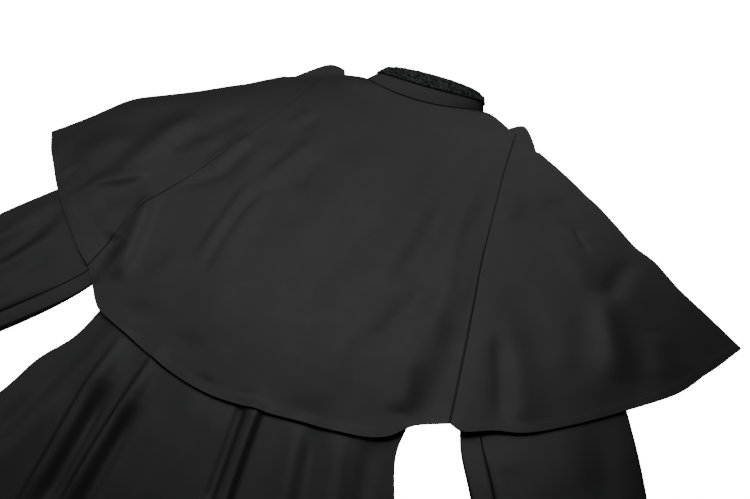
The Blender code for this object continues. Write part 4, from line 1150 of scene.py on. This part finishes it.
@dataclass
class Sleeves:
    """Two sleeves, each cut in a wide upper part and a narrow under part."""

    wardrobe: Wardrobe
    armhole_seam: float = 0.0013
    edge: float = 0.0010  # radius of the folded edge under the cape
    edge_out: float = 0.0030  # and below it
    under_cape: float = 0.0080
    level: float = 0.0112
    head_band: Tuple[float, float] = (0.03, 0.14)
    run_step: float = 0.01
    opens: Tuple[float, float] = (0.50, 0.70)
    lands: Tuple[float, float] = (0.76, 0.88)
    arch: float = 2.2
    turn: float = 0.05
    seam_head: float = 0.0064
    seam_gap: float = 0.0008
    seam_band: Tuple[float, float] = (0.0, 0.35)
    hindarm: float = 0.115
    hindarm_head: float = 0.36
    hindarm_band: Tuple[float, float] = (0.0, 0.45)
    forearm: float = 0.62
    seam_sink: float = 0.0011
    seam_width: float = 0.0045
    rows: int = 110
    upper_steps: int = 72
    under_steps: int = 26
    fine_steps: int = 4  # columns on each half of a folded edge
    seam_step: float = 0.0015  # share of the girth between the first columns beside a seam
    seam_columns: Tuple[int, ...] = (1, 2, 4)
    apart: float = 0.004
    beside_seam: float = 0.012

    def points(self, outline: SleeveOutline, girth: Array, along: Array) -> Array:
        """Points on a sleeve's tube.

        Args:
            outline: The sleeve.
            girth: 0 at the outer edge, over the top to the inner edge at 0.5, and back below.
            along: 0 at the armhole and 1 at the cuff.

        Returns:
            Points in metres.
        """
        girth = np.mod(girth, 1.0)
        outer = smooth(outline.outer, along)
        inner = smooth(outline.inner, along)
        sign = outline.side.value
        shift = self.armhole_seam / CM * sign * (1 - ease(along, *self.head_band))
        opened = ease(along, *self.opens)
        base = mix(LAY.second, LAY.lowest, ease(along, *self.lands))
        radius = mix(self.edge, self.edge_out, opened)
        crown = mix(self.under_cape, self.level, opened) - LAY.second
        outer_flat = outer - self.left_of(outline.outer, along) * (sign * radius / CM)[:, None]
        inner_flat = inner + self.left_of(outline.inner, along) * (sign * radius / CM)[:, None]
        at_outer = (girth < self.turn) | (girth > 1 - self.turn)
        at_inner = np.abs(girth - 0.5) < self.turn
        swing = np.where(at_outer, np.where(girth < 0.5, girth, girth - 1), 0.5 - girth)
        angle = np.clip(swing / self.turn, -1.0, 1.0) * math.pi / 2
        above = girth < 0.5
        part = np.where(above, girth - self.turn, 1 - self.turn - girth) / (0.5 - 2 * self.turn)
        part = np.clip(part, 0.0, 1.0)
        part = np.where(above, self.below_head(part, along), part)
        height = np.where(at_outer | at_inner, radius * (1 + np.sin(angle)), 2 * radius * above)
        bulge = np.cos(angle)[:, None]
        spots = mix(outer_flat, inner_flat, part[:, None])
        spots = np.where(at_outer[:, None], mix(outer_flat, outer, bulge), spots)
        spots = np.where(at_inner[:, None], mix(inner_flat, inner, bulge), spots)
        arch = 1 - np.abs(2 * part - 1) ** self.arch
        seam = self.seam_top() - girth
        ditch = self.seam_sink * np.exp(-((seam / self.seam_width) ** 2)) * opened
        lift = crown - 2 * radius + creased(outline.creases, spots) * opened
        on_top = above & ~at_outer & ~at_inner
        height = height + np.where(on_top, np.maximum(lift * arch, 0.0) - ditch, 0.0)
        spots[:, 0] += shift
        return LAY.place(spots, base + height)

    def left_of(self, rows: Rows, along: Array) -> Array:
        """The way to the left of a curve's run, in plan, at shares of its length."""
        run = smooth(rows, along + self.run_step) - smooth(rows, along - self.run_step)
        run /= np.linalg.norm(run, axis=1)[:, None]
        return np.column_stack((-run[:, 1], run[:, 0]))

    def below_head(self, part: Array, along: Array) -> Array:
        """Moves the columns of the upper face so that the back seam runs up into the armhole."""
        seam = mix(1 - self.hindarm_head, 1 - self.hindarm, ease(along, *self.hindarm_band))
        outside = part * seam / (1 - self.hindarm)
        inside = 1 - (1 - part) * (1 - seam) / self.hindarm
        return np.where(part < 1 - self.hindarm, outside, inside)

    def seam_top(self) -> float:
        """The share of the girth at which the back seam runs."""
        return 0.5 - self.turn - self.hindarm * (0.5 - 2 * self.turn)

    def seam_below(self) -> float:
        """The share of the girth at which the seam under the sleeve runs."""
        return 0.5 + self.turn + (1 - self.forearm) * (0.5 - 2 * self.turn)

    def stations(self, start: float, end: float, steps: int) -> Array:
        """Shares of the girth from start to end, closer together on the folded edges."""
        steps_out = range(-self.fine_steps, self.fine_steps + 1)
        fine = [k * self.turn / self.fine_steps for k in steps_out]
        fixed = [s for t in fine for s in (t, 0.5 + t, 1 + t) if start < s < end]
        seam = [start + self.seam_step * k for k in self.seam_columns]
        seam += [end - self.seam_step * k for k in self.seam_columns]
        even = np.linspace(start, end, steps + 1)
        clear = [s for s in even if all(abs(s - f) > self.apart for f in fixed + seam)]
        return np.array(sorted(set(fixed + seam + clear + [start, end])))

    def part_points(
        self, outline: SleeveOutline, stations: Array, across: Array, down: Array
    ) -> Array:
        """Points of one cut part of a sleeve, clear of its neighbour at both seams."""
        column = np.round(across * (len(stations) - 1)).astype(int)
        gap = mix(self.seam_head, self.seam_gap, ease(down, *self.seam_band))
        at_start = column == 0
        at_end = column == len(stations) - 1
        girth = stations[column]
        near_start = np.clip(1 - (girth - stations[0]) / self.beside_seam, 0.0, 1.0)
        near_end = np.clip(1 - (stations[-1] - girth) / self.beside_seam, 0.0, 1.0)
        girth = girth + gap * np.where(at_start, 1.0, near_start) * (near_start > 0)
        girth = girth - gap * np.where(at_end, 1.0, near_end) * (near_end > 0)
        return self.points(outline, girth, down)

    def build(self) -> List[bpy.types.Object]:
        """Makes the four sleeve parts."""
        cloth = self.wardrobe.get(DRESS_CREPE_WITH_PAINTED_SHADE)
        top, below = self.seam_top(), self.seam_below()
        spans = (
            ("upper", self.stations(below - 1, top, self.upper_steps), (0.26, 0.60, 0.101)),
            ("under", self.stations(top, below, self.under_steps), (0.11, 0.48, 0.030)),
        )
        made = []
        for outline in SLEEVES:
            for part, stations, cut in spans:
                name = f"sleeve_{outline.side.word}_{part}"
                piece = cloth_sheet(
                    f"{name}_cloth", len(stations) - 1, self.rows,
                    lambda across, down, outline=outline, stations=stations: self.part_points(
                        outline, stations, across, down
                    ),
                    LAY.wall, cloth,
                )
                dress(piece, Slot.DRESS, name)
                made.append(piece)
        return made


# ---------------------------------------------------------------- collar
@dataclass(frozen=True)
class CollarForm:
    """The stand collar's own sizes, in cm unless a comment says otherwise."""

    seam_half: float = 8.55
    seam_middle: float = 0.05
    seam_side_y: float = -0.92
    front_dip: float = 3.9
    neck_seam: float = 0.0009  # metres
    top_half: float = 6.95
    top_middle: float = 0.85
    top_back: float = 0.95
    top_front: float = -0.45
    top_high: float = 29.0 * MM
    top_low: float = 5.2 * MM
    side_height: float = 6.4 * MM
    front_height: float = 3.2 * MM
    close_to: float = 179.7  # degrees
    wall: float = 2.0 * MM
    braid_from: float = 0.54  # share of the stand's height
    braid_out: float = 1.0 * MM  # clear of the stand's face


FORM = CollarForm()


def seam_spots(degrees: Array) -> Array:
    """The collar's seam in plan, along the back neckline and round the front one."""
    degrees = np.asarray(degrees, float)
    angle = np.radians(degrees)
    x = FORM.seam_middle + FORM.seam_half * np.sin(angle)
    line = smooth(NECK_BACK, np.linspace(0.0, 1.0, 600))
    back = np.interp(x, line[:, 0], line[:, 1]) + FORM.neck_seam / CM
    front = FORM.seam_side_y + FORM.front_dip * np.cos(angle)
    return np.column_stack((x, np.where(np.abs(degrees) > 90, front, back)))


def front_neck(side: Side, degrees: float) -> Tuple[float, float]:
    """A spot on the front neckline, just outside the stand's seam."""
    spot = seam_spots(np.array([side.value * degrees]))[0]
    return (float(spot[0] * 1.02), float(spot[1] - 0.12))


@dataclass
class Collar:
    """The stand collar and the braid round its upper edge."""

    wardrobe: Wardrobe
    cape: Cape
    columns: int = 220
    stand_rows: int = 30
    braid_rows: int = 8
    base_wall: float = 0.9 * MM
    puff: float = 0.25 * MM
    side_band: Tuple[float, float] = (70.0, 90.0)  # degrees round the collar
    power_band: Tuple[float, float] = (84.0, 100.0)
    powers: Tuple[float, float] = (0.8, 0.4)
    front_fall: float = 6.0
    turn_step: float = 3.0
    plait_rows: int = 6
    plait_columns: int = 150
    knot_sizes: Tuple[float, float, float] = (0.0021, 0.00075, 0.00085)
    slant: float = 0.62  # radians that the knots lean from the braid's length
    seed: int = 7
    knot_detail: int = 2
    astray: float = 0.2  # how far a knot strays along the braid, in knots
    across_stray: float = 0.05  # and across it, in shares of its width
    lean_stray: float = 0.35  # radians
    lift_stray: Tuple[float, float] = (-0.15 * MM, 0.35 * MM)
    size_stray: Tuple[float, float] = (0.8, 1.15)
    lowest_knot: float = 0.055  # share of the stand's height above the braid's lower edge

    def points(self, degrees: Array, up: Array) -> Array:
        """Points of the middle of the stand's wall, up being 0 at the seam and 1 at the top."""
        around = np.abs(degrees)
        angle = np.radians(degrees)
        seam = seam_spots(degrees)
        down = ease(around, *self.side_band)
        back = mix(self.cape.height(seam), FORM.side_height, down)
        fall = 1 - np.exp(-np.maximum(around - 90, 0.0) / self.front_fall)
        front = mix(FORM.side_height, FORM.front_height, fall)
        height = np.where(around <= 90, back, front)
        power = mix(*self.powers, ease(around, *self.power_band))
        facing = np.sign(np.cos(angle)) * np.abs(np.cos(angle)) ** power
        top = np.column_stack((
            FORM.top_middle + FORM.top_half * np.sin(angle),
            mix(FORM.top_front, FORM.top_back, ease(facing, -1.0, 1.0)),
        ))
        top_height = mix(FORM.top_low, FORM.top_high, (1 + facing) / 2)
        spots = mix(seam, top, up[:, None])
        return LAY.place(spots, mix(height, top_height, up))

    def outward(self, degrees: Array, up: Array) -> Array:
        """Directions out of the stand's outer face."""
        step = self.turn_step
        around = self.points(degrees + step, up) - self.points(degrees - step, up)
        rise = self.points(degrees, up + 0.02) - self.points(degrees, up - 0.02)
        normal = np.cross(around, rise)
        return normal / np.linalg.norm(normal, axis=1)[:, None]

    def degrees_at(self, across: Array) -> Array:
        """Degrees round the collar for shares across, closer together at its sides."""
        share = np.abs(2 * across - 1)
        table = np.array((0.0, 0.12, 0.26, 0.40, 0.56, 0.70, 0.84, 1.0))
        spread = np.array((0.0, 30.0, 60.0, 80.0, 95.0, 112.0, 142.0, FORM.close_to))
        return np.sign(2 * across - 1) * np.interp(share, table, spread)

    def stand_points(self, across: Array, down: Array) -> Array:
        """Points of the stand, with a rolled upper edge and a pressed lower seam."""
        degrees = self.degrees_at(across)
        up = 1 - down
        points = self.points(degrees, up)
        out = self.outward(degrees, np.clip(up, 0.05, 0.95))
        puff = self.puff * np.sin(math.pi * up)
        return points + out * puff[:, None]

    def band_points(self, low: float, high: float, out: float, across: Array, down: Array) -> Array:
        """Points of a band on the stand's outer face, between two shares of its height."""
        degrees = self.degrees_at(across)
        up = mix(high, low, down)
        points = self.points(degrees, up)
        return points + self.outward(degrees, up) * (FORM.wall / 2 + out)

    def knots(self) -> List[Matrix]:
        """The places of the braid's knots, in slanting rows that cross each other."""
        chance = np.random.default_rng(self.seed)
        made: List[Matrix] = []
        for row in range(self.plait_rows):
            step = np.arange(self.plait_columns) + (row % 2) * 0.5
            stray = chance.uniform(-self.astray, self.astray, len(step))
            across = (step + stray + 0.3) / (self.plait_columns + 1)
            degrees = self.degrees_at(np.clip(across, 0.002, 0.998))
            stray = chance.uniform(-self.across_stray, self.across_stray, len(step))
            share = (row + 0.5) / self.plait_rows + stray
            up = mix(FORM.braid_from + self.lowest_knot, 1.0, np.clip(share, 0.03, 1.0))
            out = self.outward(degrees, up)
            lift = FORM.wall / 2 + FORM.braid_out + self.base_wall
            lift = lift + chance.uniform(*self.lift_stray, len(step))
            middle = self.points(degrees, up) + out * lift[:, None]
            along = self.points(degrees + 1.0, up) - self.points(degrees - 1.0, up)
            rise = self.points(degrees, up + 0.01) - self.points(degrees, up - 0.01)
            stray = chance.uniform(-self.lean_stray, self.lean_stray, len(step))
            lean = self.slant * (1 if row % 2 else -1) + stray
            for m, a, r, o, turn in zip(middle, along, rise, out, lean):
                ahead = Vector(a).normalized() * math.cos(turn)
                run = ahead + Vector(r).normalized() * math.sin(turn)
                size = chance.uniform(*self.size_stray)
                sizes = tuple(s * size for s in self.knot_sizes)
                made.append(aimed(Vector(m), run, Vector(o), sizes))
        return made

    def build(self) -> List[bpy.types.Object]:
        """Makes the stand, the braid's ground and its knots."""
        stand = cloth_sheet(
            "collar_stand_cloth", self.columns, self.stand_rows, self.stand_points, FORM.wall,
            self.wardrobe.get(CAPE_CREPE),
        )
        dress(stand, Slot.CAPE, "collar_stand")
        ground = cloth_sheet(
            "collar_braid_ground", self.columns, self.braid_rows,
            lambda across, down: self.band_points(
                FORM.braid_from, 1.0, FORM.braid_out + self.base_wall / 2, across, down
            ),
            self.base_wall, self.wardrobe.get(BRAID_YARN),
        )
        dress(ground, Slot.BRAID, "collar_braid")
        knots = bodies_mesh(
            "collar_braid_knots", self.knots(), self.knot_detail, self.wardrobe.get(BRAID_YARN)
        )
        dress(knots, Slot.BRAID)
        return [stand, ground, knots]


# ---------------------------------------------------------------- studio
@dataclass(frozen=True)
class SoftBox:
    """A soft rectangular light."""

    name: str
    place: Tuple[float, float, float]
    aim: Tuple[float, float, float]
    size: Tuple[float, float]
    watts: float

    def build(self) -> None:
        """Hangs the light."""
        data = bpy.data.lights.new(self.name, "AREA")
        data.shape = "RECTANGLE"
        data.size = self.size[0]
        data.size_y = self.size[1]
        data.energy = self.watts
        light = bpy.data.objects.new(self.name, data)
        light.location = self.place
        toward = Vector(self.aim) - Vector(self.place)
        light.rotation_euler = toward.to_track_quat("-Z", "Y").to_euler()
        bpy.context.scene.collection.objects.link(light)


@dataclass
class Studio:
    """The pale surface, the soft light and the camera at the photograph's angle."""

    floor_colour: Colour = (0.90, 0.90, 0.90)
    floor_glow: float = 16.0
    floor_size: float = 12.0
    floor_roughness: float = 0.9
    sky: float = 0.08
    boxes: Tuple[SoftBox, ...] = (
        SoftBox("over_the_back", (-0.15, 0.80, 1.2), (0.0, 0.30, 0.0), (0.9, 0.7), 2.9),
        SoftBox("behind_left", (-0.95, 1.25, 1.15), (0.0, 0.30, 0.0), (1.0, 0.7), 1.6),
        SoftBox("left", (-0.90, 0.40, 1.0), (0.0, 0.30, 0.0), (0.7, 0.7), 1.05),
        SoftBox("far_behind", (0.0, 2.0, 1.0), (0.0, 0.30, 0.0), (1.2, 0.8), 2.9),
        SoftBox("low_left", (-1.20, 0.25, 0.5), (0.0, 0.30, 0.0), (0.5, 0.4), 0.4),
    )
    camera_place: Tuple[float, float, float] = (0.2946, -0.2770, 0.70)
    camera_turn: Tuple[float, float, float] = (40.0, 0.0, 24.5)
    lens: float = 38.4
    sensor: float = 36.0

    def build(self) -> None:
        """Sets up the surface, the world, the lights and the camera."""
        grid = bmesh.new()
        bmesh.ops.create_grid(grid, x_segments=1, y_segments=1, size=self.floor_size / 2)
        mesh = bpy.data.meshes.new("floor")
        grid.to_mesh(mesh)
        grid.free()
        mesh.materials.append(self.floor_material())
        floor = bpy.data.objects.new("floor", mesh)
        floor.visible_diffuse = False
        floor.visible_glossy = False
        bpy.context.scene.collection.objects.link(floor)
        world = bpy.data.worlds.new("soft_sky")
        world.use_nodes = True
        sky = world.node_tree.nodes["Background"]
        sky.inputs["Color"].default_value = (1.0, 1.0, 1.0, 1.0)
        sky.inputs["Strength"].default_value = self.sky
        bpy.context.scene.world = world
        for box in self.boxes:
            box.build()
        data = bpy.data.cameras.new("camera")
        data.lens = self.lens
        data.sensor_width = self.sensor
        data.sensor_fit = "HORIZONTAL"
        camera = bpy.data.objects.new("camera", data)
        camera.location = self.camera_place
        camera.rotation_euler = Euler([math.radians(a) for a in self.camera_turn])
        bpy.context.scene.collection.objects.link(camera)
        bpy.context.scene.camera = camera

    def floor_material(self) -> bpy.types.Material:
        """A plain white surface that glows a little, as a light table does."""
        material = bpy.data.materials.new("white_surface")
        material.use_nodes = True
        shader = material.node_tree.nodes["Principled BSDF"]
        shader.inputs["Base Color"].default_value = (*self.floor_colour, 1.0)
        shader.inputs["Roughness"].default_value = self.floor_roughness
        shader.inputs["Emission Color"].default_value = (1.0, 1.0, 1.0, 1.0)
        shader.inputs["Emission Strength"].default_value = self.floor_glow
        return material


def clear_startup() -> None:
    """Removes what a new Blender scene starts with."""
    for obj in list(bpy.data.objects):
        bpy.data.objects.remove(obj, do_unlink=True)


def main() -> None:
    """Builds the garment's looks on its frame, and the studio round it."""
    logging.basicConfig(level=logging.INFO, format="%(message)s")
    clear_startup()
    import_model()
    wardrobe = Wardrobe()
    cape = Cape(wardrobe)
    pieces = cape.build()
    pieces += Bodice(wardrobe, cape).build()
    pieces += Skirt(wardrobe).build()
    pieces += Sleeves(wardrobe).build()
    pieces += Collar(wardrobe, cape).build()
    Studio().build()
    LOG.info("%d pieces in all", len(pieces))


if __name__ == "__main__":
    main()
